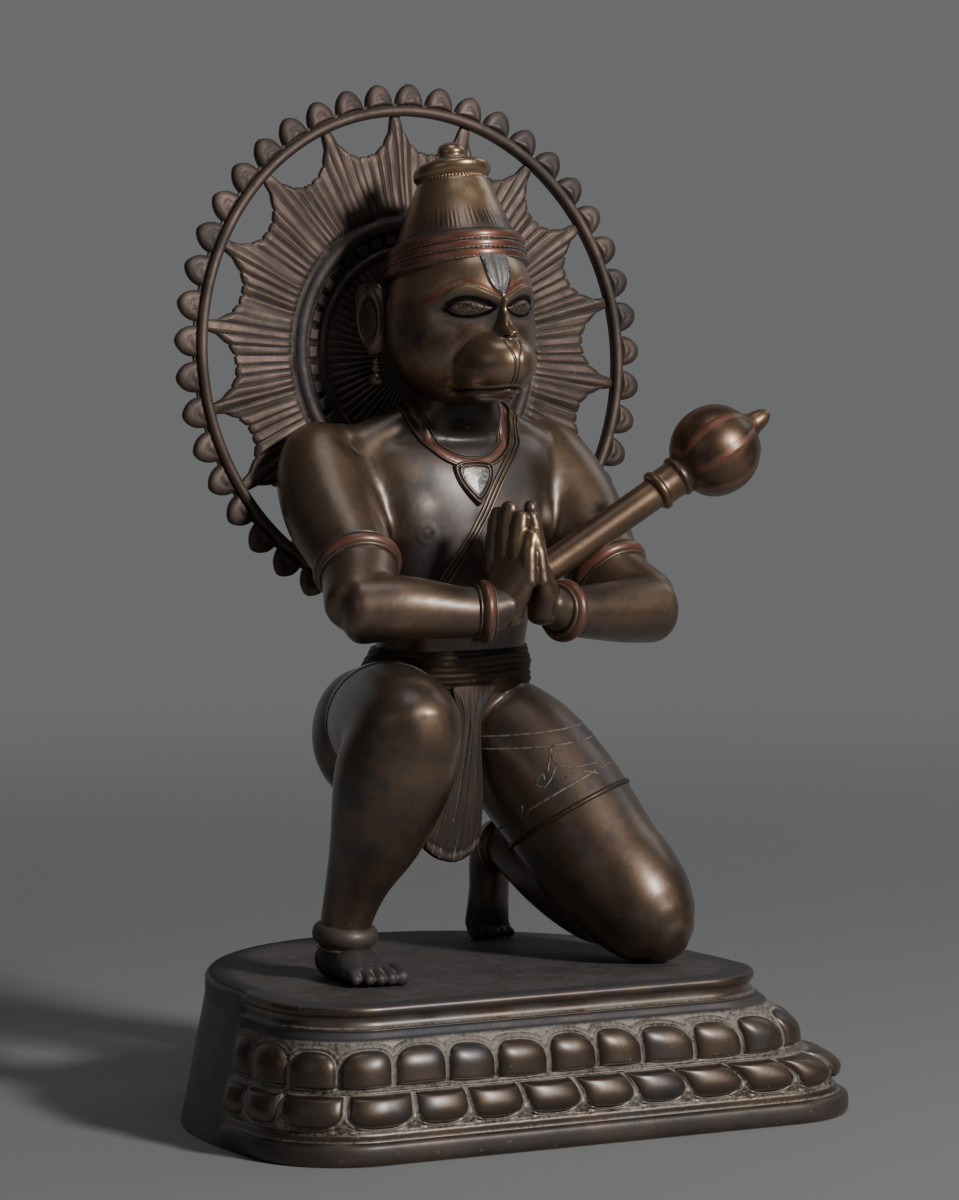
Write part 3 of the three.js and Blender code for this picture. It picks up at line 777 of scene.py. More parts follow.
def make_body():
    """Trunk and limbs cast as one, rounded off and given their relief and marks."""
    skin = cast(trunk() + arm(-1) + arm(1) + right_leg() + left_leg(), 1.35, 14, keep=0.5)
    round_body(skin)
    body_details(skin)
    mark_body(skin)
    return skin


body = make_body()
tree = BVHTree.FromPolygons(
    [Vector(p) for p in body.points.tolist()], body.quads.tolist() + body.triangles.tolist()
)


def laid(points, lift):
    """Points moved to the nearest place on the body and raised by lift, with the body's normals there."""
    found = [tree.find_nearest(Vector(p)) for p in points.tolist()]
    at = np.array([f[0] for f in found])
    normal = np.array([f[1] for f in found])
    return at + normal * lift, normal


piece("body", body, skin_bronze, "figure_bronze", "figure", rounds=10, scale=0.9)


# Head


HEAD_LEAN = math.radians(6)


def tilted(points):
    """From the head's own frame to the part's: turned 6 degrees back and moved to the head's middle."""
    c, s = math.cos(HEAD_LEAN), math.sin(HEAD_LEAN)
    x, y, z = np.moveaxis(points, -1, 0)
    return np.stack([x - 1, y * c + z * s + 22, z * c - y * s + 306], -1)


def exit_length(direction, origin, centre, radii):
    """Distance from the origin along each direction to where it leaves an ellipsoid, or 0 if it misses."""
    o = (origin - centre) / radii
    d = direction / radii
    a = (d * d).sum(-1)
    b = (d * o).sum(-1)
    c = (o * o).sum() - 1
    inside = b * b - a * c
    return np.where(inside > 0, (np.sqrt(np.maximum(inside, 0)) - b) / a, 0)


def face_relief(x, y, z):
    """Raised and cut forms of the face, with the places of its inlays: heights that fall off with the
    distance from a drawn line, mirrored left and right, and all fading out behind the face's front."""
    side = np.abs(x)
    lift = np.zeros(x.shape)
    names = ("copper", "silver", "dark", "pale", "slate", "brass", "warm")
    marks = {name: np.zeros(x.shape) for name in names}

    def spot(across, up, width):
        return blob(np.hypot(side - across, z - up), 0, width)

    muzzle = blob(np.hypot(side / 15, (z + 14) / 11), 0, 1)
    # warm tone and brass on the muzzle and forehead: worn metal, and also a painted highlight where the light
    # falls strongest
    marks["warm"] += np.clip(muzzle + smooth(6, 14, z) + 0.35 * spot(18, -8, 9), 0, 1)
    marks["brass"] += 0.30 * (spot(4, 18, 9) + spot(5, -13, 7))
    # eyes: a socket, a ball between two lid lines, a speckled almond inlay
    upper = curve([(2.8, 5.2), (6.1, 7.5), (10.5, 9.3), (14.4, 9.7), (17.6, 8.6), (20.2, 6.2)])
    lower = curve([(2.8, 5.2), (4.9, 3.9), (9.1, 2.9), (13.5, 2.7), (17.2, 3.7), (20.2, 6.2)])
    to_upper, _ = to_path(side, z, upper)
    to_lower, _ = to_path(side, z, lower)
    top = np.interp(side, upper[:, 0], upper[:, 1], left=-99, right=-99)
    low = np.interp(side, lower[:, 0], lower[:, 1], left=99, right=99)
    inside = (z < top) & (z > low)
    rim = np.minimum(to_upper, to_lower)
    deep = np.where(inside, rim, 0)
    lift -= 2.3 * np.exp(-(((side - 12.0) / 10.5) ** 2 + ((z - 5.8) / 6.0) ** 2) ** 1.5)
    lift += 2.2 * (1 - (1 - np.clip(deep / 4.2, 0, 1)) ** 2)
    lift -= 0.75 * blob(rim, 0, 0.45)
    corner = smooth(20.6, 18.4, side) * smooth(2.6, 4.4, side)
    lift += 0.7 * blob(to_upper, 1.0, 0.6) * ~inside * corner
    lift += 0.45 * blob(to_lower, 0.9, 0.6) * ~inside * corner
    marks["slate"] += 0.9 * blob(rim, 1.4, 1.5) * ~inside
    marks["dark"] += 0.38 * blob(rim, 0.9, 1.2) * ~inside
    marks["slate"] += np.where(inside, 0.7 * smooth(0.2, 0.8, rim), 0)
    pupil = np.abs((side - 12.6) / 4.9) ** 1.6 + np.abs((z - 6.3 - 0.06 * (side - 12.6)) / 1.65) ** 1.6
    marks["silver"] += smooth(1.15, 0.85, pupil)
    marks["warm"] += smooth(1.4, 1.0, pupil)
    marks["slate"] *= 1 - smooth(1.15, 0.85, pupil)
    marks["dark"] += (blob(rim, 0.1, 0.6) + 0.7 * blob(pupil, 1.35, 0.25))
    marks["pale"] += blob(to_lower, 0.95, 0.45) * ~inside * smooth(5, 14, side) * 0.5
    # brow ridge over the eye, and the inlaid line above it
    ridge_line = curve([
        (0, 6.2), (1.8, 7.3), (5.2, 9.7), (9.6, 11.9), (13.8, 12.6), (17.6, 11.6), (21.4, 8.4),
    ])
    to_ridge, share = to_path(side, z, ridge_line)
    lift += 1.9 * blob(to_ridge, 0, 1.3) * smooth(1.02, 0.75, share)
    marks["brass"] += 0.45 * blob(to_ridge, 0, 0.9) * smooth(1.0, 0.7, share)
    line = curve([
        (0.7, 9.3), (2.6, 10.9), (5.6, 13.5), (9.9, 15.5), (14, 16.0), (17.9, 14.5), (21.3, 11.8), (24, 9.0),
        (26.6, 7.0),
    ])
    to_line, share = to_path(side, z, line)
    width = 0.28 + 0.62 * np.sin(np.pi * np.clip(share * 0.9 + 0.05, 0, 1)) ** 0.8
    lift += 0.15 * smooth(width + 0.25, width - 0.2, to_line)
    marks["copper"] += smooth(width + 0.15, width - 0.15, to_line)
    marks["dark"] += blob(to_line, width + 0.3, 0.22) * 0.35
    # nose: a soft root, a narrow crest that ends in a small bright tip
    lift += 2.0 * np.exp(-((side / 4.0) ** 2)) * window(z, -9, -4, 8, 15)
    height = np.interp(z, [-7.4, -6.4, -5.0, -3.4, -1, 2.4, 6, 9.5], [0, 1.2, 5.6, 6.6, 4.7, 2.8, 1.7, 0.4])
    wide = np.interp(z, [-7, -3.4, 0, 4, 9], [3.1, 2.8, 1.7, 1.15, 1.0])
    crest = smooth(wide * 1.45, wide * 0.35, side)
    lift += height * crest
    marks["brass"] += crest * window(z, -6, -5, 3, 8)
    lift -= 0.8 * spot(2.1, -6.3, 0.8)
    marks["dark"] += spot(2.1, -6.3, 0.8)
    marks["slate"] += 0.8 * blob(np.hypot(side - 5.2, (z + 1.0) * 0.7), 0, 2.2)
    # muzzle: two lines under the nose, a crease round it, mouth and lips
    groove, _ = to_path(side, z, curve([(3.2, -7.6), (2.4, -11.5), (1.2, -15.5), (0.95, -19.5), (0.9, -25)]))
    lift -= 0.5 * blob(groove, 0, 0.40)
    marks["dark"] += blob(groove, 0, 0.35) * 0.8
    marks["slate"] += smooth(1.1, 0.6, side) * smooth(-14, -16, z) * smooth(-26, -24.5, z)
    crease, _ = to_path(side, z, curve([
        (4.6, -7.2), (8.3, -6.2), (11.2, -6.7), (14.2, -9), (16.3, -12.7), (16.7, -17.5), (15.4, -21.4)
    ]))
    lift -= 0.45 * blob(crease, 0, 1.8)
    mouth = curve([(0, -26.4), (3.6, -26.7), (8.1, -26.8), (11.8, -26.0), (14.6, -24.6)])
    to_mouth, _ = to_path(side, z, mouth)
    lip = curve([(0, -28.6), (3.4, -28.8), (9.3, -28.0), (13.2, -25.2)])
    to_lip, _ = to_path(side, z, lip)
    open_here = smooth(15.0, 11.0, side)
    over = z > np.interp(side, mouth[:, 0], mouth[:, 1])
    lift -= 0.9 * blob(to_mouth, 0, 0.45) * open_here
    lift += 0.5 * blob(to_mouth, 1.0, 0.4) * over * open_here
    lift += 0.75 * blob(to_mouth, 0.9, 0.45) * ~over * open_here
    lift -= 0.4 * blob(to_lip, 0.2, 0.5) * open_here
    marks["dark"] += (0.8 * blob(to_mouth, 0, 0.4) + 0.3 * blob(to_lip, 0.2, 0.4)) * open_here
    marks["brass"] += 0.9 * blob(to_mouth, 0.95, 0.35) * ~over * open_here
    # brow mark: a raised silver U with a narrow V inside it
    outer, _ = to_path(side, z, curve([(5.0, 26), (4.7, 20), (4.2, 16.8), (2.5, 12.9), (0, 9.4)]))
    inner, _ = to_path(side, z, curve([(1.9, 26), (1.8, 18.5), (1.2, 15.4), (0, 12.6)]))
    above = z > 8.5
    lift += (0.5 * smooth(1.0, 0.6, outer) - 0.25 * blob(inner, 0, 0.4)) * above
    within = np.interp(z, [9.4, 12.9, 16.8, 20, 26], [0, 2.5, 4.2, 4.7, 5.0]) - side
    plate = smooth(0.0, 0.5, within) * above
    marks["slate"] += plate * 1.2
    marks["silver"] += 0.7 * np.maximum(plate, smooth(0.7, 0.5, outer) * above)
    marks["warm"] *= 1 - np.maximum(plate, smooth(1.1, 0.8, outer) * above)
    marks["dark"] += (0.6 * blob(within, -0.9, 0.25) + 0.5 * blob(inner, 0, 0.3)) * above
    front = smooth(4, -6, y)
    return lift * front, {name: mark * front for name, mark in marks.items()}


def soft_max(lengths, width):
    """The largest of several lengths, with the change from one to the next rounded over a width."""
    return width * np.log(np.exp(np.stack(lengths) / width).sum(0))


def make_head():
    """Star-shaped skin about the head's middle: the distance along each direction is a soft maximum of
    ellipsoids, first for skull, jaw and forehead, then for muzzle and chin, plus the face's relief."""
    columns, rows = 290, 230
    even = np.linspace(-1, 1, columns, endpoint=False)
    turn = np.pi * (0.5 * even + 0.5 * np.sign(even) * np.abs(even) ** 3)
    rise = np.radians(np.linspace(-86, 86, rows))
    lat, lon = np.meshgrid(rise, turn, indexing="ij")
    direction = np.stack([np.cos(lat) * np.sin(lon), -np.cos(lat) * np.cos(lon), np.sin(lat)], -1)
    origin = np.array([0, -8, -4.0])

    def reach_of(centre, radii):
        return exit_length(direction, origin, np.array(centre), np.array(radii))

    skull = soft_max([
        reach_of((0, 1, 2), (28.3, 31, 32.5)), reach_of((0, -3, -7.5), (25.2, 28, 20.5)),
        reach_of((0, -13, 12), (20.6, 22, 22)), reach_of((0, -1, 12), (26.0, 29, 27)),
    ], 3.0)
    reach = soft_max([
        skull, reach_of((0, -26.5, -16), (15.7, 19.8, 13.4)), reach_of((0, -20, -21.5), (12.4, 15.5, 8.6)),
    ], 1.5)
    base = origin + direction * reach[..., None]
    lift, marks = face_relief(base[..., 0], base[..., 1], base[..., 2])
    rings = origin + direction * (reach + lift)[..., None]
    low = origin + np.array([0, 0, -reach[0].mean()])
    high = origin + np.array([0, 0, reach[-1].mean()])
    return capped(rings, low, high, marks)


def ear(sign):
    """Ear as a flat leaf that flares back: its outer face is hollowed inside a rolled rim; a drop of three
    turned forms hangs from it."""
    flare = unit(np.array([0.48 * sign, 0.88, 0]))
    skin = limb([
        (31.0 * sign, 15, 18.6, 4.6, 1.1), (31.2 * sign, 15, 15.5, 6.6, 1.5),
        (31.4 * sign, 15.4, 6, 6.9, 1.7), (31.0 * sign, 15, -2, 5.6, 1.7), (30.2 * sign, 14, -8, 3.4, 1.4),
    ], side=flare, columns=56, steps=12)
    outward = np.array([0.88 * sign, -0.48, 0])
    rest = skin.points - np.array([31.2 * sign, 15.2, 5.5])
    bowl = np.hypot(rest @ flare / 4.6, rest[:, 2] / 9.6)
    facing = smooth(-0.2, 0.6, rest @ outward)
    lift = facing * (0.9 * blob(bowl, 1.12, 0.16) - 0.6 * smooth(1.0, 0.8, bowl))
    skin.points = skin.points + outward * lift[:, None]
    skin.marks["dark"] = facing * blob(bowl, 0.9, 0.10) * 0.45
    profile = curve([
        (0.4, 0), (2.0, 0.8), (2.9, 2.6), (2.2, 4.6), (1.3, 5.6), (2.0, 6.6), (1.9, 7.8), (1.1, 8.8),
        (1.6, 9.8), (1.2, 11), (0.3, 11.6),
    ], 5)
    return joined([skin, turned(profile, (30.2 * sign, 14.5, -21.5), (0, 0, 1), 40)])


head = joined([make_head(), ear(-1), ear(1)])
head.points = tilted(head.points)
piece("head", head, head_bronze_painted_light, "figure_bronze", rounds=7, scale=0.35)


# Crown

CROWN_FOOT = np.array([-1, 25, 321])
CROWN_AXIS = unit(np.array([0, math.sin(HEAD_LEAN) * 0.7, 1.0]))
CROWN_STRIPES = ((28.0, 6.2), (27.3, 9.95), (26.4, 13.7))


def make_crown():
    """Headband of three stripes with finely beaded edges, a straight-sided cap with short combed strokes, a
    fat ring and a bud. The turned form is stretched forward at the band, and its level planes lean back:
    height rises by 0.19 of the way forward."""
    profile = [(20, 5.0), (24, 4.9), (26.9, 5.3)]
    for r, h in CROWN_STRIPES:
        profile += [(r - 0.1, h), (r + 0.3, h + 0.3), (r + 0.25, h + 0.6), (r - 0.15, h + 0.85)]
        profile += [(r - 0.15, h + 2.0), (r - 0.45, h + 3.4)]
    profile += [
        (25.8, 17.3), (25.6, 17.8), (24.8, 18.3), (23.8, 18.6), (23.4, 19.2), (23.1, 20), (21.4, 24),
        (19.2, 30), (18.0, 33), (16.8, 36), (15.5, 38.8), (14.5, 41), (13.8, 42.0), (13.5, 42.6),
        (14.0, 43.2), (14.9, 44.2), (15.3, 45.6), (15.2, 47), (14.4, 48.4), (12.8, 49.3), (10.6, 49.6),
        (8.9, 49.8), (8.4, 50.3), (8.2, 51.0), (6.8, 51.4), (5.9, 51.8), (5.4, 52.6), (5.6, 53.8), (5.5, 55),
        (4.6, 56.6), (3.0, 57.6), (1.2, 58.2),
    ]
    p = curve(profile, 3)
    columns = 336
    turn = full_turn(columns)
    h = p[:, 1, None]
    edges = sum(blob(h, low + 0.4, 0.35) for _, low in CROWN_STRIPES)
    beads = np.cos(turn * 84) * 0.12 * edges
    uneven = 0.5 + 0.5 * np.sin(turn * 17 + 1.3 * np.sin(turn * 5)) * np.sin(turn * 7 + 2)
    reach = 22.5 + 6.5 * uneven
    strokes = np.maximum(np.cos(turn * 75 + 0.8 * np.sin(turn * 9)), 0) ** 4
    combed = -0.16 * strokes * smooth(reach + 3, reach, h) * smooth(19.2, 20.5, h)
    pearls = np.maximum(np.cos(turn * 64), -0.3) * 0.35 * blob(h, 42.3, 0.55)
    marks = {
        "copper": sum(window(h, low + 0.8, low + 1.0, low + 3.0, low + 3.2) for _, low in CROWN_STRIPES),
        "pale": edges * (0.62 + 0.30 * np.cos(turn * 84)),
        "dark": smooth(0.07, 0.15, -combed) * 0.5 + blob(h, 18.7, 0.3) * 0.6,
        "brass": 0.6 * window(h, 42.5, 43.5, 49, 50) + 0.5 * smooth(52, 53, h)
        + 0.45 * window(h, 25, 32, 38, 41),
        "warm": smooth(23, 30, h),
        "slate": blob(h, 18.6, 1.6) * 0.6,
    }
    marks = {name: mark + 0 * turn for name, mark in marks.items()}
    skin = turned(p, CROWN_FOOT, CROWN_AXIS, columns, lift=beads + combed + pearls, marks=marks)
    height = (skin.points - CROWN_FOOT) @ CROWN_AXIS
    forward = skin.points[:, 1] - CROWN_FOOT[1] - height * CROWN_AXIS[1] / CROWN_AXIS[2]
    skin.points[:, 1] += forward * 0.12 * smooth(32, 16, height)
    skin.points[:, 2] -= forward * 0.19 * smooth(57, 48, height)
    return skin


piece("crown", make_crown(), head_bronze_painted_light, "figure_bronze", rounds=4, scale=0.45)


# Hands and feet


def hand(sign):
    """Palm, four fingers and thumb of one of the two pressed hands, the little finger foremost."""
    lean = math.radians(24)
    side = np.array([math.sin(lean) * sign, math.cos(lean), 0])

    def at(x, y, z, *size):
        return (x * sign, y, z, *size)

    skins = [limb([
        at(10, -30, 197, 7.4, 8.2), at(8.8, -30, 202, 8.8, 7.2), at(7.4, -30.3, 208, 10.8, 5.6),
        at(6.4, -30.0, 214, 11.6, 4.2), at(5.6, -29.2, 220, 11.2, 3.0),
    ], side=side, columns=56)]
    fingers = ((-8.9, 230.0, 3.5), (-3.2, 237.0, 3.8), (2.5, 240.4, 3.85), (8.1, 238.0, 3.7))
    for shift, tip, thick in fingers:
        root = np.array([6.6 * sign, -29.6, 210]) + side * shift
        end = np.array([3.7 * sign, -27.5, tip - 2.2]) + side * shift * 0.95
        knuckle = root * 0.45 + end * 0.55 + np.array([0.9 * sign, 0, 0])
        last = root * 0.15 + end * 0.85 + np.array([0.5 * sign, 0, 0])
        between = knuckle * 0.5 + last * 0.5
        skins.append(limb([
            (*root, thick * 1.02, 3.3), (*knuckle, thick * 1.03, 3.2), (*between, thick * 0.97, 3.0),
            (*last, thick, 3.0), (*end, thick * 0.88, 2.7),
        ], side=side, columns=28, steps=8, dome=0.9))
    skins.append(limb([
        at(9.0, -22, 203, 4.2, 4.0), at(8.4, -18.0, 211, 3.8, 3.6), at(7.4, -16.4, 218, 3.3, 3.2),
        at(6.0, -16.6, 226, 2.7, 2.6),
    ], side=side, columns=28, dome=1.0))
    return skins


def right_foot():
    """Foot flat on the plinth: heel, instep and five toes."""
    heel, toes = np.array([-71.5, -6, 0]), np.array([-69, -37, 0.0])
    along = unit(toes - heel)
    across = np.array([along[1], -along[0], 0])

    def at(share, z, *size):
        return (*(heel * (1 - share) + toes * share + [0, 0, PLINTH_HEIGHT + z]), *size)

    skins = [
        limb([
            at(0, 6.6, 7.6, 7.2), at(0.2, 8, 8.6, 8.6), at(0.45, 7.4, 9.4, 8.0), at(0.7, 5.4, 10.6, 6.0),
            at(0.92, 3.9, 11, 4.2),
        ], side=across, columns=56, dome=0.8),
        limb([(-71.3, -15.4, 78, 9.6, 9.8), (-71.5, -15, 70, 9.4, 10.3), (-71.4, -14, 64, 8.6, 10.5)]),
    ]
    five = ((-9, -0.4, 2.2), (-4.6, 2.2, 2.3), (-0.2, 3.2, 2.4), (4.1, 3.8, 2.6), (8.9, 3.4, 3.4))
    for shift, reach, size in five:
        base = heel * 0.16 + toes * 0.84 - across * shift
        tip = toes - across * shift + along * (reach + 0.8)
        middle = base * 0.45 + tip * 0.55
        skins.append(limb([
            (*(base + [0, 0, PLINTH_HEIGHT + 4.4]), size, size),
            (*(middle + [0, 0, PLINTH_HEIGHT + 4.5]), size * 0.98, size * 1.05),
            (*(tip + [0, 0, PLINTH_HEIGHT + 3.1]), size, size * 0.95),
        ], side=across, columns=28, dome=0.95))
    return skins


def left_foot():
    """Foot behind the kneeling leg: its sole upright, its toes bent short on the plinth."""
    skins = [
        limb([
            (32, 47, 97, 9.0, 9.3), (31, 53, 95, 8.7, 9.0), (31, 56, 88, 8.6, 8.0), (31, 56.5, 80, 8.4, 7.0),
            (30.7, 57, 72, 8.8, 6.6), (30.5, 57.5, 65, 9.4, 6.4),
        ], columns=56, dome=0.8),
        limb([(31, 55, 97, 7, 7), (31, 60.5, 95, 5.5, 5.5)], dome=0.9),
    ]
    for shift, size in zip((-7.2, -3.6, 0, 3.5, 7.0), (2.9, 2.5, 2.4, 2.3, 2.2)):
        skins.append(limb([
            (30.6 + shift, 57.0, 65, size, size), (30.6 + shift, 54.5, 61.4, size, size),
            (30.6 + shift, 51.5, 60.3, size, size * 0.95),
        ], columns=28, dome=0.95))
    return skins


hands = cast(hand(-1) + hand(1), 0.58, 6)
fingertips = near(hands.points, (-1, -38, 226), 5.2)
hands.marks["brass"] = 2.6 * fingertips + 0.25 * smooth(226, 238, hands.points[:, 2])
piece("hands", marked(hands, warm=0.3), skin_bronze, "figure_bronze", scale=0.3)
feet = cast(right_foot() + left_foot(), 0.62, 5)
feet.points[:, 2] = np.maximum(feet.points[:, 2], PLINTH_HEIGHT + 0.35)
feet.marks["pale"] = 0.9 * smooth(0.05, 0.5, hollows(feet, 6, 0.35)) * smooth(68, 63, feet.points[:, 2])
feet.marks["slate"] = smooth(76, 66, feet.points[:, 2])
piece("feet", feet, skin_bronze, "figure_bronze", scale=0.3)


# Rings and cords worn


def band_ring(centre, axis, radius, out, along, hint=(1, 0, 0)):
    """A swelling ring between two thin beads, copper over the side that faces along the axis."""
    section = oval_section(out, along, 18)
    axis = unit(axis)
    main = ring(centre, axis, radius, section, hint)
    main.marks["copper"] = np.tile(window(section[:, 1] / along, -0.35, -0.1, 0.8, 0.95), RING_COLUMNS)
    bead = oval_section(1.1, 0.7, 10)
    ends = [centre + axis * (along + 0.3) * s for s in (-1, 1)]
    return [main] + [marked(ring(end, axis, radius + 0.2, bead, hint), pale=0.45) for end in ends]


def make_jewellery():
    """Arm rings, bracelets and anklets."""
    skins = []
    for sign in (-1, 1):
        shoulder, upper, band, elbow, fore, low, wrist = arm_points(sign)
        skins += band_ring(band, elbow - upper, 15.0, 2.6, 3.0)
        skins += band_ring(wrist, wrist - low, 9.3, 3.0, 2.7, hint=(0, 0, 1))
    shin = (0.04, -0.12, 1)
    anklet = ring((-71, -15.5, 75.5), shin, 9.6, oval_section(3.2, 4.0, 20))
    under_it = ring((-71.2, -15.2, 70.4), shin, 9.4, oval_section(1.4, 1.0, 12))
    back_anklet = ring((32, 46, 97.5), (0, 1, 0.15), 9.2, oval_section(2.4, 2.8, 20))
    return joined(skins + [marked(anklet, slate=0.75), marked(under_it, pale=0.5), back_anklet])


piece("rings", make_jewellery(), skin_bronze, "figure_bronze", rounds=4)


def front_of(x, z):
    """How far back the body's front lies at a place across and up."""
    return tree.ray_cast(Vector((x, -90, z)), Vector((0, 1, 0)))[0][1]


def mirrored_line(half):
    """A line given from its middle outwards, carried on to the other side: x changes sign."""
    half = np.asarray(half, float)
    return np.concatenate([half[::-1] * [-1, 1, 1], half[1:]])


def laid_line(points, count, lift, wide, deep, columns=10):
    """A thin cord on the body along the smooth curve through a few points."""
    path, normal = laid(spline(points, np.linspace(0, len(points) - 1, count)), lift)
    return tube(path, normal, wide, deep, columns)


def make_cords():
    """V-shaped collar of two raised edges with a copper strip between, and the three-strand cord from the
    left shoulder towards the right hip."""
    outer = mirrored_line([
        (0, 9, 251.5), (9.5, 11, 253.8), (16, 14.5, 258), (20.5, 19, 264), (22.5, 25, 270), (20, 40, 273),
    ])
    middle = mirrored_line([
        (0, 8, 255.2), (7, 9.4, 256.2), (13, 12.5, 259.4), (17.4, 17, 264.4), (18.8, 23, 271), (16, 40, 275),
    ])
    inner = mirrored_line([
        (0, 10, 257.5), (6.4, 11, 258.4), (11.8, 14, 261.2), (15.5, 17.5, 265.8), (16.8, 22, 272),
        (14, 40, 276),
    ])
    skins = [
        laid_line(outer, 150, 0.5, 0.7, 0.8),
        marked(laid_line(inner, 150, 0.1, 0.45, 0.5), slate=0.6),
        marked(laid_line(middle, 150, 0.0, 1.75, 0.35), copper=0.62),
    ]
    route = [
        (24.5, 32, 270), (23.8, 20, 263.6), (19.3, 15, 257.7), (13.6, 11, 251.2), (8, 8.4, 243.9),
        (0, 5.7, 231.3), (-13, 6, 212), (-29, 16, 186),
    ]
    thread, normal = laid(spline(route, np.linspace(0, len(route) - 1, 180)), 0.2)
    across = np.cross(unit(np.gradient(thread, axis=0)), normal)
    for shift in (-1.6, 0, 1.6):
        strand, normal_here = laid(thread + across * shift, 0.2)
        skins.append(tube(strand, normal_here, 0.62, 0.6, 8))
    return joined(skins)


def make_pendant():
    """Shield on the chest: an outline drawn from its middle, filled by rings that shrink towards the middle
    and follow the body; the frame is two raised lines round a speckled plate."""
    shield = [
        (0, 254.3), (4.5, 254.0), (7.6, 252.6), (7.7, 249.5), (6.4, 245.5), (4.0, 241.6), (1.6, 238.6),
        (0, 237.2), (-1.6, 238.6), (-4.0, 241.6), (-6.4, 245.5), (-7.7, 249.5), (-7.6, 252.6), (-4.5, 254.0),
    ]
    columns = 140
    edge = loop_spline(shield, np.linspace(0, len(shield), columns, endpoint=False))
    middle = np.array([0, 247.5])
    inwards = np.linspace(0.99, 0.04, 40)
    steps = np.concatenate([[1.0, 1.02, 1.02], inwards])
    height = np.concatenate([[-1.6, -0.6, 0.4], np.interp(
        inwards, [0, 0.60, 0.66, 0.70, 0.74, 0.80, 0.84, 0.88, 0.93, 1.0],
        [1.5, 1.1, 0.9, 1.55, 1.55, 0.75, 0.75, 1.6, 1.6, 0.7],
    )])
    flat = middle + (edge - middle)[None] * steps[:, None, None]
    x = flat[..., 0] * 1.12 - 0.9
    z = flat[..., 1]
    low, high = 239, 253
    tip, top = front_of(0, low), front_of(0, high)
    seat = tip + (top - tip) * (z - low) / (high - low) + 0.010 * x**2 - 0.6
    direction = np.array([0, -1, 0.35]) / math.hypot(1, 0.35)
    rings = np.stack([x, seat, z], -1) + direction * height[:, None, None]
    plate = np.repeat(smooth(0.66, 0.60, steps)[:, None], columns, 1)
    line = np.repeat((blob(steps, 0.68, 0.03) + blob(steps, 0.83, 0.04))[:, None], columns, 1)
    return capped(rings, marks={"silver": plate, "dark": line})


piece("cords", joined([make_cords(), make_pendant()]), skin_bronze, "figure_bronze", rounds=4)


# Cloth


def make_waist():
    """Wound waist cloth: the trunk's section with soft folds, radius waving with height."""
    low, high = 156, 182
    z = np.linspace(low, high, 84)[:, None]
    heights = [low, 160, 165, 168, 172, 175, 179, high]
    base = np.interp(z, heights, [34, 35, 36.4, 35.6, 35.6, 34.4, 33.4, 30.5])
    turn = full_turn(220)
    sway = 1.4 * np.sin(turn + 0.4) + 0.7 * np.sin(3 * turn + 1)
    fold = 0.75 * np.sin(np.pi * (z - low + 1.6 * sway) / 7.4) ** 2
    fold = fold + 0.16 * np.sin(TAU * (z + 1.5 * sway) / 2.4)
    ends = window(z, low, low + 2, high - 2, high)
    r = base - 1.2 * (1 - ends) + fold * ends
    x = r * np.cos(turn) - 1
    y = r * 0.7 * np.sin(turn) + 37 - (z - 160) * 0.3
    return capped(np.stack([x, y, z + 0 * r], -1))


def make_apron():
    """Pleated flap: a grid across and down, both faces; soft folds run down from two slanting ones at the
    waist, fine lines fan out to a rounded, bordered foot."""
    t = np.linspace(0, 1, 84)[:, None]
    a = np.linspace(-1, 1, 60)
    top, foot = np.array([-1, 11, 166.0]), np.array([-12, 9, 103.0])
    x, y, z = (top[k] * (1 - t) + foot[k] * t for k in range(3))
    width = 9.5 - 5.0 * smooth(0, 0.24, t) + 7.4 * smooth(0.2, 1, t) ** 0.9
    bow = -3 * np.sin(np.pi * t)
    hang = 6.0 * (1 - a**2) * smooth(0.5, 1, t)
    folds = 0.28 * np.cos(a * np.pi * 3.1 + 0.5 * np.sin(t * 5)) * window(t, 0.02, 0.2, 0.6, 1.05)
    lines = -0.24 * np.maximum(np.cos(a * np.pi * 8 + 0.4 * np.sin(t * 7)), 0) ** 3 * smooth(-0.05, 0.1, t)
    border = 0.35 * blob(t, 0.975, 0.014) - 0.3 * blob(t, 0.945, 0.010) + 0.3 * smooth(0.90, 0.97, np.abs(a))
    slant = 0.3 * blob(np.abs(a) - 1.0 + 3.6 * t, 0, 0.16) * smooth(0.34, 0.2, t)
    bulge = 2.0 * np.sqrt(np.maximum(1 - 0.85 * a**2, 0))
    front = np.stack([x + width * a, y + bow - bulge - folds - lines - border - slant, z - hang], -1)
    back = np.stack([x + width * a, y + bow + 1.6 + 0 * a, z - hang], -1)
    rings = np.concatenate([front, back[:, ::-1]], 1)
    settled = 0.46 * smooth(0.08, 0.18, -lines) + 0.45 * blob(t, 0.945, 0.012) + 0.4 * blob(t, 0.99, 0.02)
    settled = settled * (0.75 + 0.35 * np.sin(a * 9 + 1) * np.sin(t * 8))
    dust = np.concatenate([settled, 0 * settled], 1)
    return capped(rings, marks={"pale": dust, "slate": 0.35 + 0 * dust})


def hem(a, b, c, middle, lift, wide, deep):
    """A raised line round a limb: in the plane of three points on it, rays from the limb's middle line
    find the skin."""
    a, b, c, middle = (np.array(p, float) for p in (a, b, c, middle))
    axis, across, over = basis(np.cross(b - a, c - a))
    middle = middle - axis * ((middle - a) @ axis)
    turn = full_turn(150)[:, None]
    rays = across * np.cos(turn) + over * np.sin(turn)
    hits = [tree.ray_cast(Vector(middle), Vector(r)) for r in rays.tolist()]
    longest, missed = 34.0, 25.0
    length = np.array([min(h[3], longest) if h[0] is not None else missed for h in hits])
    for _ in range(3):
        length = (np.roll(length, 1) + 2 * length + np.roll(length, -1)) / 4
    path = middle + rays * (length + lift)[:, None]
    return tube(path, rays, wide, deep, 10, closed=True)


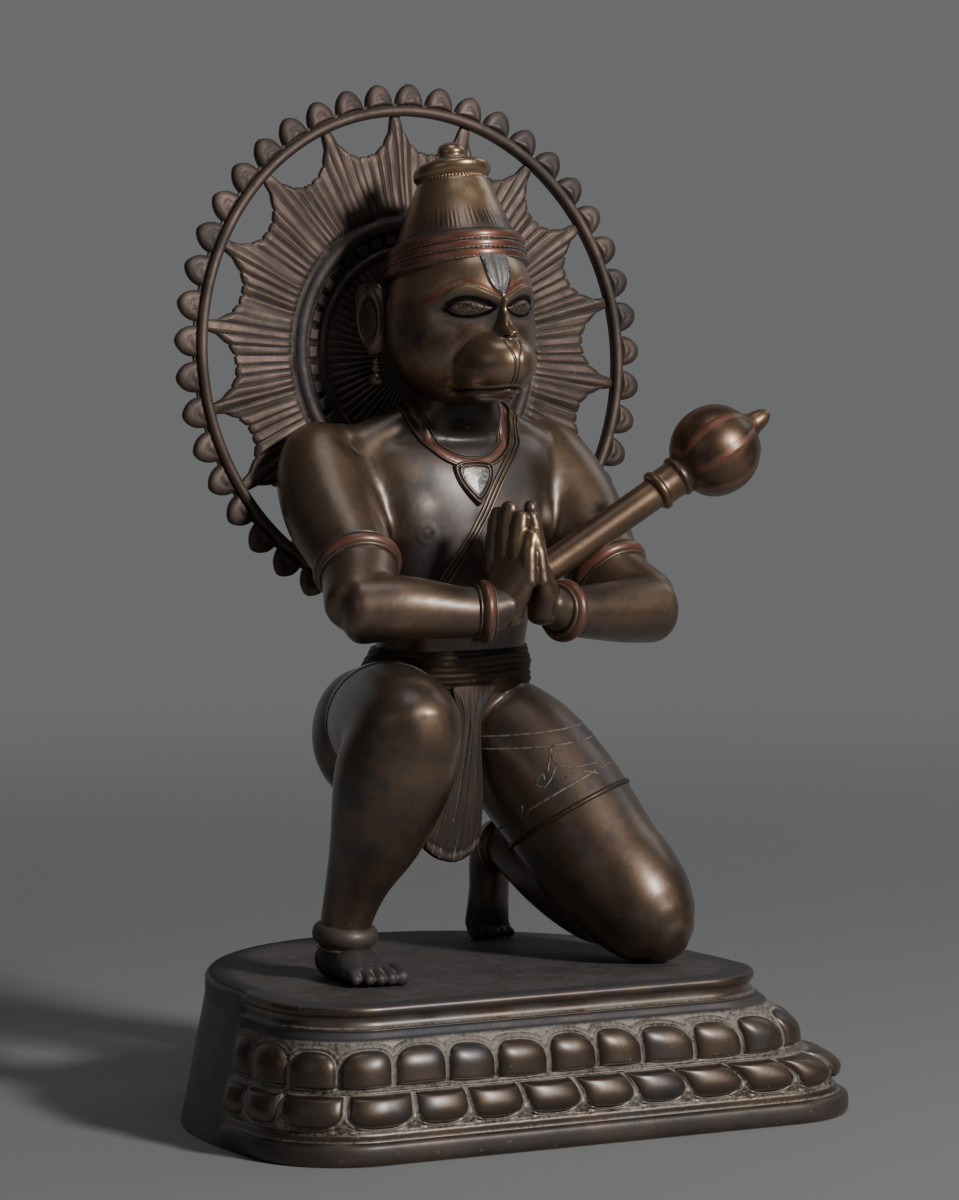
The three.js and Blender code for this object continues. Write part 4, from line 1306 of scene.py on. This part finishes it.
def make_hems():
    """Borders of the short lower garment: a seam over a fine line and two fine bands on the left thigh, one
    seam at the right hip."""
    seam = ((12.7, -4.4, 106.4), (32.5, -23.5, 123), (48.4, -17.9, 127.1), (34, 4, 118))
    under = ((10.9, -2.6, 114.2), (36.1, -17, 131.6), (53, -4.9, 134.3), (32, 8, 124))
    upper_band = ((6.5, 4.5, 145.9), (26.3, -2.6, 148.0), (45.4, 8.9, 149.5), (24, 24, 147))
    lower_band = ((6.5, 2.0, 141.0), (29.5, -6.5, 143.2), (47, 4, 145.0), (25, 21, 142))
    hip = ((-52.8, 3, 174.9), (-61, 12.6, 161.8), (-58, 16, 140), (-40, 12, 153))
    scrolls = (
        [(22.3, -7.9, 141.4), (23.7, -11.9, 135.7), (28.2, -15, 134.2), (34.5, -15, 134.3),
         (42.5, -13.8, 135.7)],
        [(23.5, -8.2, 142.1), (21.8, -9.7, 137.2), (20.5, -11.2, 132.3)],
        [(23.5, -12.2, 135), (20.9, -12.9, 129.7), (18, -12.4, 126.6), (15.8, -9.9, 128.1),
         (18.7, -10.3, 131.5), (18.9, -11.6, 129.3)],
        [(25.5, -16, 130.5), (29.9, -16.9, 132), (34.9, -16.7, 132.1), (39.4, -17.6, 130.7)],
        [(11, -3.2, 116.6), (12.4, -6.3, 119.2), (12.4, -5.6, 114.4), (13.8, -8.8, 117)],
    )
    raised = (
        (seam, 0.1, 1.1, 0.9, 0.3), (under, 0.0, 0.5, 0.4, 0.7), (upper_band, -0.1, 0.45, 0.4, 0.75),
        (lower_band, -0.1, 0.45, 0.4, 0.75), (hip, 0.0, 0.5, 0.45, 0.6),
    )
    hems = [marked(hem(*places, lift, wide, deep), pale=pale) for places, lift, wide, deep, pale in raised]
    return joined(hems + [marked(laid_line(line, 40, -0.02, 0.34, 0.28, 6), pale=0.8) for line in scrolls])


cloth = joined([make_waist(), make_apron(), make_hems()])
piece("waist_cloth", cloth, cloth_bronze, "figure_bronze", rounds=5)


# Plinth

PLINTH_TOP = np.array([-17, 103, 81, 94, 32.0])
PLINTH_FOOT = np.array([-2.5, 128.5, 92.5, 105, 38.0])
SIDE_END = -22
PETALS = 15
PILLOW = 3.1


def outline(plan, u):
    """Outline of the plinth: plan holds middle, half width, front, back and corner; u runs 0 to 5 over left
    side, left corner, front, right corner and right side, then to 6 over the back's half ellipse."""
    x, a, f, b, r = (plan[..., k] for k in range(5))
    piece_at = np.minimum(np.floor(u), 5)
    s = u - piece_at
    run = f + SIDE_END - r
    left, right = np.radians(180 + 90 * s), np.radians(270 + 90 * s)
    back = np.pi * s
    stretches = [piece_at == k for k in range(5)]
    across = [
        x - a, x - a + r + r * np.cos(left), x - a + r + (2 * a - 2 * r) * s, x + a - r + r * np.cos(right),
        x + a,
    ]
    along = [SIDE_END - run * s, -f + r + r * np.sin(left), -f, -f + r + r * np.sin(right), -f + r + run * s]
    return (
        np.select(stretches, across, x + a * np.cos(back)),
        np.select(stretches, along, SIDE_END + (b - SIDE_END) * np.sin(back)),
    )


def petal_relief(across, rise):
    """Relief of one petal, rise 0 at its straight root and 1 at its domed tip: a pillow inside two scratched
    outlines. Returns the height, whether a place lies outside the pillow, and how far out it lies."""
    tipward = np.clip((rise - 0.38) / 0.50, 0, 2)
    reach = (np.abs(across / 0.92) ** 2.8 + tipward**2.8) ** (1 / 2.8)
    pillow = PILLOW * np.sqrt(np.clip(1 - reach**2.2, 0, 1)) * smooth(-0.01, 0.10, rise)
    outlines = -0.8 * blob(reach, 1.05, 0.05) + 0.3 * blob(reach, 1.13, 0.05) - 0.5 * blob(reach, 1.22, 0.05)
    return pillow + outlines, smooth(0.98, 1.03, reach), reach


def make_plinth():
    """Grid of outline places by profile rows. Height z goes with the share of the way out from the top
    outline to the foot's; petals stand out along the outline's normal, and round the back the wall slopes
    plainly up to a rounded edge."""
    _, half_width, front, _, corner = PLINTH_FOOT
    straight = front + SIDE_END - corner
    round_corner = corner * np.pi / 2
    ends = np.cumsum([0, straight, round_corner, 2 * (half_width - corner), round_corner, straight])
    per_petal, back = 29, 42
    phase = np.arange(PETALS * per_petal) / per_petal
    u = np.concatenate([np.interp(phase / PETALS * ends[-1], ends, np.arange(6)), 5 + np.arange(back) / back])
    from_end = np.concatenate([np.minimum(phase, PETALS - phase), np.zeros(back)])
    phase = np.concatenate([phase, np.zeros(back)])
    moulded = smooth(0, 0.5, from_end)
    raised = smooth(0.05, 0.5, phase) * smooth(0, 0.6, from_end)
    levels = np.array([
        (0.0, 1.0, -1.3, 2), (0.5, 1.0, -0.6, 3), (2.2, 1.0, 0, 3), (5.4, 1.0, 0, 3), (7.4, 1.0, -0.5, 3),
        (8.4, 0.98, -1.2, 3), (8.8, 0.95, -1.4, 3), (9.6, 0.92, -1.2, 3), (12.2, 0.88, -0.9, 5),
        (13.2, 0.86, -0.6, 6), (15.2, 0.875, 0, 11), (19.4, 0.855, 0, 8), (23.2, 0.75, 0, 7),
        (25.6, 0.62, 0, 6), (26.8, 0.53, 0, 6), (27.4, 0.47, 0, 4), (28.4, 0.45, 0, 4), (30.6, 0.455, 0, 6),
        (35.5, 0.43, 0, 10), (39.4, 0.36, 0, 9), (42.4, 0.27, 0, 9), (44.4, 0.20, 0, 7), (46.2, 0.13, 0, 4),
        (48.0, 0.07, 0, 4), (48.7, 0.055, 0.2, 4), (49.2, 0.04, 0.5, 3), (49.6, 0.03, 0.1, 3),
        (50.4, 0.015, -0.6, 3), (52.0, 0, -1.0, 4), (53.6, 0, -0.7, 4), (54.4, 0, 0.0, 4),
        (55.2, 0, 0.5, 4), (56.4, 0, 0.55, 4), (57.4, 0, 0.1, 4), (57.9, 0, -0.7, 4),
        (PLINTH_HEIGHT, 0, -1.7, 2),
    ])
    counted = np.concatenate([[0], np.cumsum(levels[1:, 3])])
    place = np.interp(np.linspace(0, counted[-1], 140), counted, np.arange(len(levels)))
    z, share, bulge = spline(levels[:, :3], place).T[:, :, None]
    z = np.clip(z, 0, PLINTH_HEIGHT)
    edge = -1.8 * smooth(55.0, 58.05, z) ** 2.5
    u = u + 0 * z

    def outline_at(share):
        return outline(PLINTH_TOP + (PLINTH_FOOT - PLINTH_TOP) * share[..., None] + 0 * u[..., None], u)

    x, y = outline_at(share)
    plain_x, plain_y = outline_at(np.maximum(1 - z / 49, 0))
    dx = np.roll(x, -1, 1) - np.roll(x, 1, 1)
    dy = np.roll(y, -1, 1) - np.roll(y, 1, 1)
    length = np.maximum(np.hypot(dx, dy), 1e-6)
    upper_at = phase + 0.035 * np.sin(phase * 2.3) + 0.02 * np.sin(phase * 5.1)
    lower_at = phase - 0.32 * window(phase, 1.5, 5, 12.8, 14.6) + 0.03 * np.sin(phase * 1.9 + 3)
    across = upper_at % 1 * 2 - 1 + 0 * z
    across_low = lower_at % 1 * 2 - 1 + 0 * z
    upper = (z - 28.0 - 0.5 * np.sin(phase * 1.7)) / (44.0 - 28.0) + 0 * across
    lower = (26.0 - z) / (26.0 - 12.6) + 0 * across
    up_relief, up_gap, up_reach = petal_relief(across, upper)
    low_relief, low_gap, low_reach = petal_relief(across_low, lower)
    in_upper = window(z, 27.6, 28.4, 44.8, 46.5)
    in_lower = window(z, 11.6, 12.6, 25.8, 26.8)
    tail = blob(np.abs(across_low) + 0.3 * smooth(0.1, 0.9, lower), 1.03, 0.06) * smooth(-0.05, 0.2, lower)
    low_relief = low_relief - 0.6 * tail * low_gap
    pillows = np.maximum(in_upper * up_relief, 0) + np.maximum(in_lower * low_relief, 0)
    lines = np.minimum(in_upper * up_relief, 0) + np.minimum(in_lower * low_relief, 0)
    lift = pillows * raised + lines * smooth(0.2, 0.5, from_end) - 0.9 * (in_upper + in_lower) * raised
    lift = lift + bulge
    out_x, out_y = dy / length, -dx / length
    plain_x, plain_y = plain_x + out_x * edge, plain_y + out_y * edge
    x = plain_x + (x + out_x * lift - plain_x) * moulded
    y = plain_y + (y + out_y * lift - plain_y) * moulded
    scratched, scratched_low = (
        blob(reach, 1.06, 0.05) + 0.8 * blob(reach, 1.2, 0.05) for reach in (up_reach, low_reach)
    )
    shelf = blob(z, 27.0, 1.1) + 0.8 * blob(z, 12.4, 1.2) + 0.7 * blob(z, 9.2, 0.5) + 0.7 * blob(z, 49.9, 0.5)
    dust = in_upper * (0.5 * up_gap + 0.7 * scratched) + 0.9 * shelf
    dust = dust + in_lower * (0.5 * low_gap + 0.7 * (scratched_low + tail * low_gap))
    dust = 1.25 * dust * moulded * smooth(0.1, 0.4, from_end)
    bloomed = 0.9 * window(z, 44.5, 46, 48.4, 49.2) + 0.5 * up_gap * in_upper
    bloomed = bloomed + 0.08 * pillows / PILLOW + 0.5 * window(z, 1, 3, 7, 9)
    # slate bloom on the top edge and lid: patina, and also a painted sheen on the upward-facing top
    slate = np.maximum(smooth(57.0, 57.8, z), bloomed * moulded + 0.4 * (1 - moulded))
    worn = 0.15 * pillows * raised / PILLOW
    rings = np.stack([x, y, z + 0 * x], -1)
    inwards = np.array([0.9, 0.7, 0.45, 0.2])[:, None, None]
    under, top = np.array([PLINTH_FOOT[0], 0, 0]), np.array([PLINTH_TOP[0], 0, PLINTH_HEIGHT])

    def padded(mark, end):
        more = np.zeros((len(inwards), x.shape[1]))
        return np.concatenate([more, mark, more + end])

    base = under + (rings[0] - under) * inwards[::-1]
    lid = top + (rings[-1] - top) * inwards
    # the lid's dust, slate and warm tone: dust and patina, set lighter and browner also to paint the sheen on
    # the plinth's top
    marks = {"pale": padded(dust, 0.42), "slate": padded(slate, 1.0), "warm": padded(worn, 0.3)}
    return capped(np.concatenate([base, rings, lid]), under, top, marks)


piece("plinth_casting", make_plinth(), plinth_bronze, "plinth_bronze", "plinth", rounds=8, scale=0.5)


# Halo

HALO_CENTRE = np.array([1.6, 66.3, 294.4])
RAYS = 18
SCALLOPS = 45
HALO_BACK = -1.5


def halo_placed(points):
    """From the halo's own plane, X across, Y up and Z to the viewer, to the part's frame."""
    roll, lean, turn = (math.radians(a) for a in (2, 85, 4))
    x, y, z = np.moveaxis(points, -1, 0)
    x, y = x * math.cos(roll) - y * math.sin(roll), x * math.sin(roll) + y * math.cos(roll)
    y, z = y * math.cos(lean) - z * math.sin(lean), y * math.sin(lean) + z * math.cos(lean)
    x, y = x * math.cos(turn) - y * math.sin(turn), x * math.sin(turn) + y * math.cos(turn)
    return np.stack([x, y, z], -1) + HALO_CENTRE


def make_star():
    """Rayed plate: polar grid whose outer edge follows the rays. Uneven ridges run outwards, seven to a ray
    with one on its middle, and notch the edge; each ray ends as a bar on the hoop. Hoops and square dentils
    stand nearer the middle."""
    turn = full_turn(RAYS * 42)
    phase = turn / TAU * RAYS
    tip = np.abs(phase % 1 * 2 - 1)
    sway = 0.05 * np.sin(turn * 11) + 0.04 * np.sin(turn * 29 + 1)
    ridge = smooth(-0.15, 0.62, np.abs(np.cos(np.pi * (7 * phase + sway))))
    bevel = 0.16 * np.sin(TAU * (7 * phase + sway)) * np.sin(turn * 13 + 1)
    edge = 81 + 11 * np.minimum(tip / 0.88, 1) ** 2.6 + 4.2 * smooth(0.80, 0.90, tip)
    edge = edge + 1.6 * (ridge - 0.6) * smooth(0.85, 0.7, tip)
    inner = np.concatenate([np.linspace(6, 39, 8), np.linspace(40.4, 57, 32)])[:, None]
    r = np.concatenate([inner + 0 * edge, 57 + (edge - 57) * np.linspace(1 / 32, 1, 32)[:, None]])
    out = (r - 57) / (edge - 57)
    tall = 0.85 + 0.25 * np.sin(turn * 23 + 0.6) + 0.2 * np.sin(turn * 47 + 2)
    tall = tall + 0.15 * np.sin(r / 4 + turn * 19)
    ribs = 1.3 * (ridge + bevel) * tall * smooth(56.5, 59, r) * smooth(1.03, 0.90, out)
    flute = -0.9 * (1 - tip) ** 0.8 * smooth(57, 66, r)
    thick, thin = (
        height * np.sqrt(np.clip(1 - ((r - middle) / half) ** 2, 0, 1))
        for height, middle, half in ((3.0, 53, 2.8), (1.6, 42.6, 1.5))
    )
    square = smooth(-0.5, -0.2, np.cos(turn * 42))
    dentil = 1.3 * square * window(r, 44.9, 45.4, 49.0, 49.5)
    inner_ribs = 0.7 * np.abs(np.cos(turn * 36)) ** 0.8 * window(r, 8, 14, 39.5, 41)
    front = 0.7 + ribs + flute + thick + thin + dentil + inner_ribs
    between = (1 - square) * window(r, 44.9, 45.6, 49, 49.6)
    valley = smooth(0.6, 0.2, ridge) * smooth(57, 60, r) * smooth(1.0, 0.95, out) + 0.8 * between
    crest = smooth(0.80, 1.0, ridge) * smooth(57, 60, r)
    flat = np.stack([-r * np.sin(turn), r * np.cos(turn)], -1)
    back = np.full(r.shape + (1,), HALO_BACK)
    top = np.concatenate([flat, front[..., None]], -1)
    under = np.concatenate([flat, back], -1)[::-1][::12]
    marks = {
        "dark": valley * 0.7, "brass": crest * 0.12,
        # slate bloom over the plate, raised on the thick hoop to paint its bluish highlight
        "slate": 0.25 + 0.25 * smooth(0.3, 2, thick) + 0 * crest,
        "pale": 0.42 * smooth(0.75, 0.35, ridge) * smooth(57, 60, r),
    }
    marks = {name: np.concatenate([mark, np.zeros(under.shape[:2])]) for name, mark in marks.items()}
    middle = np.array([0, 0, front[0].mean()])
    return capped(np.concatenate([top, under]), middle, np.array([0, 0, HALO_BACK]), marks)


def make_rim():
    """Outer hoop and the lobes round it: one closed section carried round, whose outer part reaches out as
    a half ellipse under each lobe and hardly at all between them. Each lobe is a dome cut by a small arc."""
    per_lobe = 18
    columns = SCALLOPS * per_lobe
    c = (np.arange(columns) % per_lobe + 0.5) / per_lobe * 2 - 1
    whole = np.arange(columns) // per_lobe + 0.5
    in_lobe = np.abs(c) <= 0.84
    slope = np.where(in_lobe, np.pi / 2 * c / 0.84, 0)
    across = np.where(in_lobe, 0.86 * np.sin(slope), np.sign(c) * (0.86 + (np.abs(c) - 0.84) / 0.16 * 0.14))
    reach = np.where(in_lobe, 0.9 + 7.6 * np.cos(slope) ** 1.1 + 0.6 * blob(slope, 0, 0.4), 0.9)
    turn = (whole + across / 2) / SCALLOPS * TAU
    bow = np.radians(np.linspace(205, -25, 11))
    hoop_r = 97.7 + 2.1 * np.cos(bow)
    hoop_z = 1.7 + 2.0 * np.sin(bow)
    s = np.linspace(0, 1, 15)[:, None]
    leaf_r = 99.7 + reach * s
    q = np.hypot(across / 0.86, (leaf_r - 99.7) / 9.1)
    dome = 2.3 * np.sqrt(np.clip(1 - q**2.4, 0, 1))
    arc = -0.45 * blob(q, 0.46, 0.10) + 0.3 * blob(q, 0.28, 0.12)
    leaf_z = 0.4 + (dome + arc) * smooth(0.0, 0.15, s + 0 * q)
    even = np.zeros(columns)
    returning = np.array([[99.0], [96.0]]) + even
    r = np.concatenate([
        hoop_r[:, None] + even, leaf_r, leaf_r[-1:] + 0.15, leaf_r[-1:] - 0.1, returning,
    ])
    flat_back = np.array([[-0.2], [HALO_BACK], [HALO_BACK], [HALO_BACK]]) + even
    z = np.concatenate([hoop_z[:, None] + even, leaf_z, flat_back])
    dark = np.concatenate([np.zeros((len(bow), columns)), 0.4 * blob(q, 0.46, 0.07), np.zeros((4, columns))])
    rings = np.stack([-r * np.sin(turn), r * np.cos(turn), z], -1)
    return hoop(rings.transpose(1, 0, 2), {"dark": dark.T, "slate": 0.25 + 0 * dark.T})


halo = joined([make_star(), make_rim()])
halo.points = halo_placed(halo.points)
piece("halo_casting", halo, halo_bronze, "halo_bronze", "halo", rounds=4, scale=0.3)


# Mace

MACE_BUTT = np.array([11, -13, 208.0])
MACE_BALL = np.array([88, -25, 258.0])
MACE_RADIUS = 18


def make_mace():
    """Shaft, double collar, ball with raised meridians and a pointed tip, turned about one axis."""
    length = np.linalg.norm(MACE_BALL - MACE_BUTT)
    end = length - 0.93 * MACE_RADIUS
    start = end - 13
    tip = length + MACE_RADIUS
    profile = [(0.5, 0), (3.5, 0.15), (5.6, 0.6), (6.2, 1.6)]
    profile += [(6.2, h) for h in np.linspace(6, start - 1.4, 12)]
    profile += [
        (6.4, start - 0.5), (7.6, start - 0.2), (8.3, start + 0.5), (8.4, start + 1.4), (8.2, start + 2.2),
        (7.5, start + 2.7), (7.3, start + 3.4), (7.3, start + 6), (7.3, end - 3.8), (7.4, end - 3.2),
        (8.1, end - 2.8), (8.5, end - 2.0), (8.4, end - 1.0), (7.8, end - 0.4),
    ]
    angles = np.radians(np.linspace(-60, 72, 30))
    profile += [(MACE_RADIUS * math.cos(a), length + MACE_RADIUS * math.sin(a)) for a in angles]
    profile += [
        (5.0, tip + 0.3), (4.4, tip + 1.6), (4.0, tip + 4), (3.2, tip + 6.6), (1.7, tip + 8.7),
        (0.4, tip + 9.4),
    ]
    p = np.array(profile)
    fine = np.linspace(0, len(p) - 1, len(p) * 2)
    p = np.stack([np.interp(fine, np.arange(len(p)), p[:, k]) for k in range(2)], -1)
    columns = 144
    on_ball = window(p[:, 1, None], end + 0.5, end + 3, tip - 0.8, tip + 1)
    line = np.cos(full_turn(columns) * 8)
    lift = on_ball * (0.35 * smooth(0.90, 0.97, line) - 0.35 * blob(line, 0.83, 0.05))
    marks = {"copper": on_ball * smooth(0.70, 0.80, line), "dark": 0.42 * on_ball * smooth(0.80, 0.70, line)}
    return turned(p, MACE_BUTT, MACE_BALL - MACE_BUTT, columns, hint=(0, 0, 1), lift=lift, marks=marks)


piece("mace_casting", make_mace(), mace_bronze, "mace_bronze", "mace", rounds=4, scale=0.3)


# Floor and light

FLOOR_HALF = 3.0
WALL_FAR = 3.2


def plane(name, corners, board):
    """A plane through four corners, with the board's material, linked into the scene."""
    mesh = bpy.data.meshes.new(name)
    mesh.from_pydata(corners, [], [(0, 1, 2, 3)])
    mesh.materials.append(board.material)
    return placed(name, mesh)


def make_floor():
    """Pale plane under the plinth: from 0.3 to 1.7 metres out it thins away into the even room behind, so
    that no edge shows."""
    board = Board("floor")
    away = board.node("ShaderNodeVectorMath", {"operation": "LENGTH"}, {0: board.place()}, output=1)
    fixed = {"Base Color": (0.31, 0.313, 0.318, 1), "Roughness": 0.85}
    board.finish({"Alpha": 1 - away.between(0.3, 1.7)}, fixed)
    corners = [(FLOOR_HALF * x, FLOOR_HALF * y, 0) for x, y in ((-1, -1), (1, -1), (1, 1), (-1, 1))]
    floor = plane("floor", corners, board)


def make_backdrop():
    """Even grey wall 3.2 metres behind the figure, square to the camera's direction."""
    board = Board("backdrop")
    board.finish({}, {
        "Base Color": (0, 0, 0, 1), "Roughness": 1.0, "Specular IOR Level": 0.0,
        "Emission Color": (0.150, 0.152, 0.154, 1), "Emission Strength": 1.0,
    })
    c, s = math.cos(CAMERA_TURN), math.sin(CAMERA_TURN)
    places = ((-5, -3), (5, -3), (5, 4), (-5, 4))
    wall = plane("backdrop", [(WALL_FAR * s + x * c, WALL_FAR * c - x * s, z) for x, z in places], board)


def make_lamp(name, place, target, size, power, tint):
    """Square soft light aimed at a point."""
    data = bpy.data.lights.new(name, "AREA")
    data.size = size
    data.energy = power
    data.color = tint
    lamp = placed(name, data)
    lamp.location = place
    lamp.rotation_euler = (Vector(target) - Vector(place)).to_track_quat("-Z", "Y").to_euler()


make_floor()
make_backdrop()
make_lamp("key", (0.68, -1.97, 1.23), (0, 0, 0.22), 0.30, 40, (1.0, 0.98, 0.96))
make_lamp("fill", (-1.9, -0.9, 0.9), (0, 0, 0.2), 1.2, 1.2, (0.93, 0.96, 1.0))
make_lamp("rim", (1.4, 0.2, 1.3), (0, 0, 0.22), 0.7, 1.6, (0.96, 0.98, 1.0))
make_lamp("top", (-0.1, -0.3, 2.0), (0, 0, 0.22), 0.8, 3.0, (0.90, 0.95, 1.0))

world = bpy.data.worlds.new("room")
bpy.context.scene.world = world
world.use_nodes = True
background = world.node_tree.nodes["Background"]
background.inputs[0].default_value = (0.028, 0.028, 0.029, 1)
background.inputs[1].default_value = 1.0
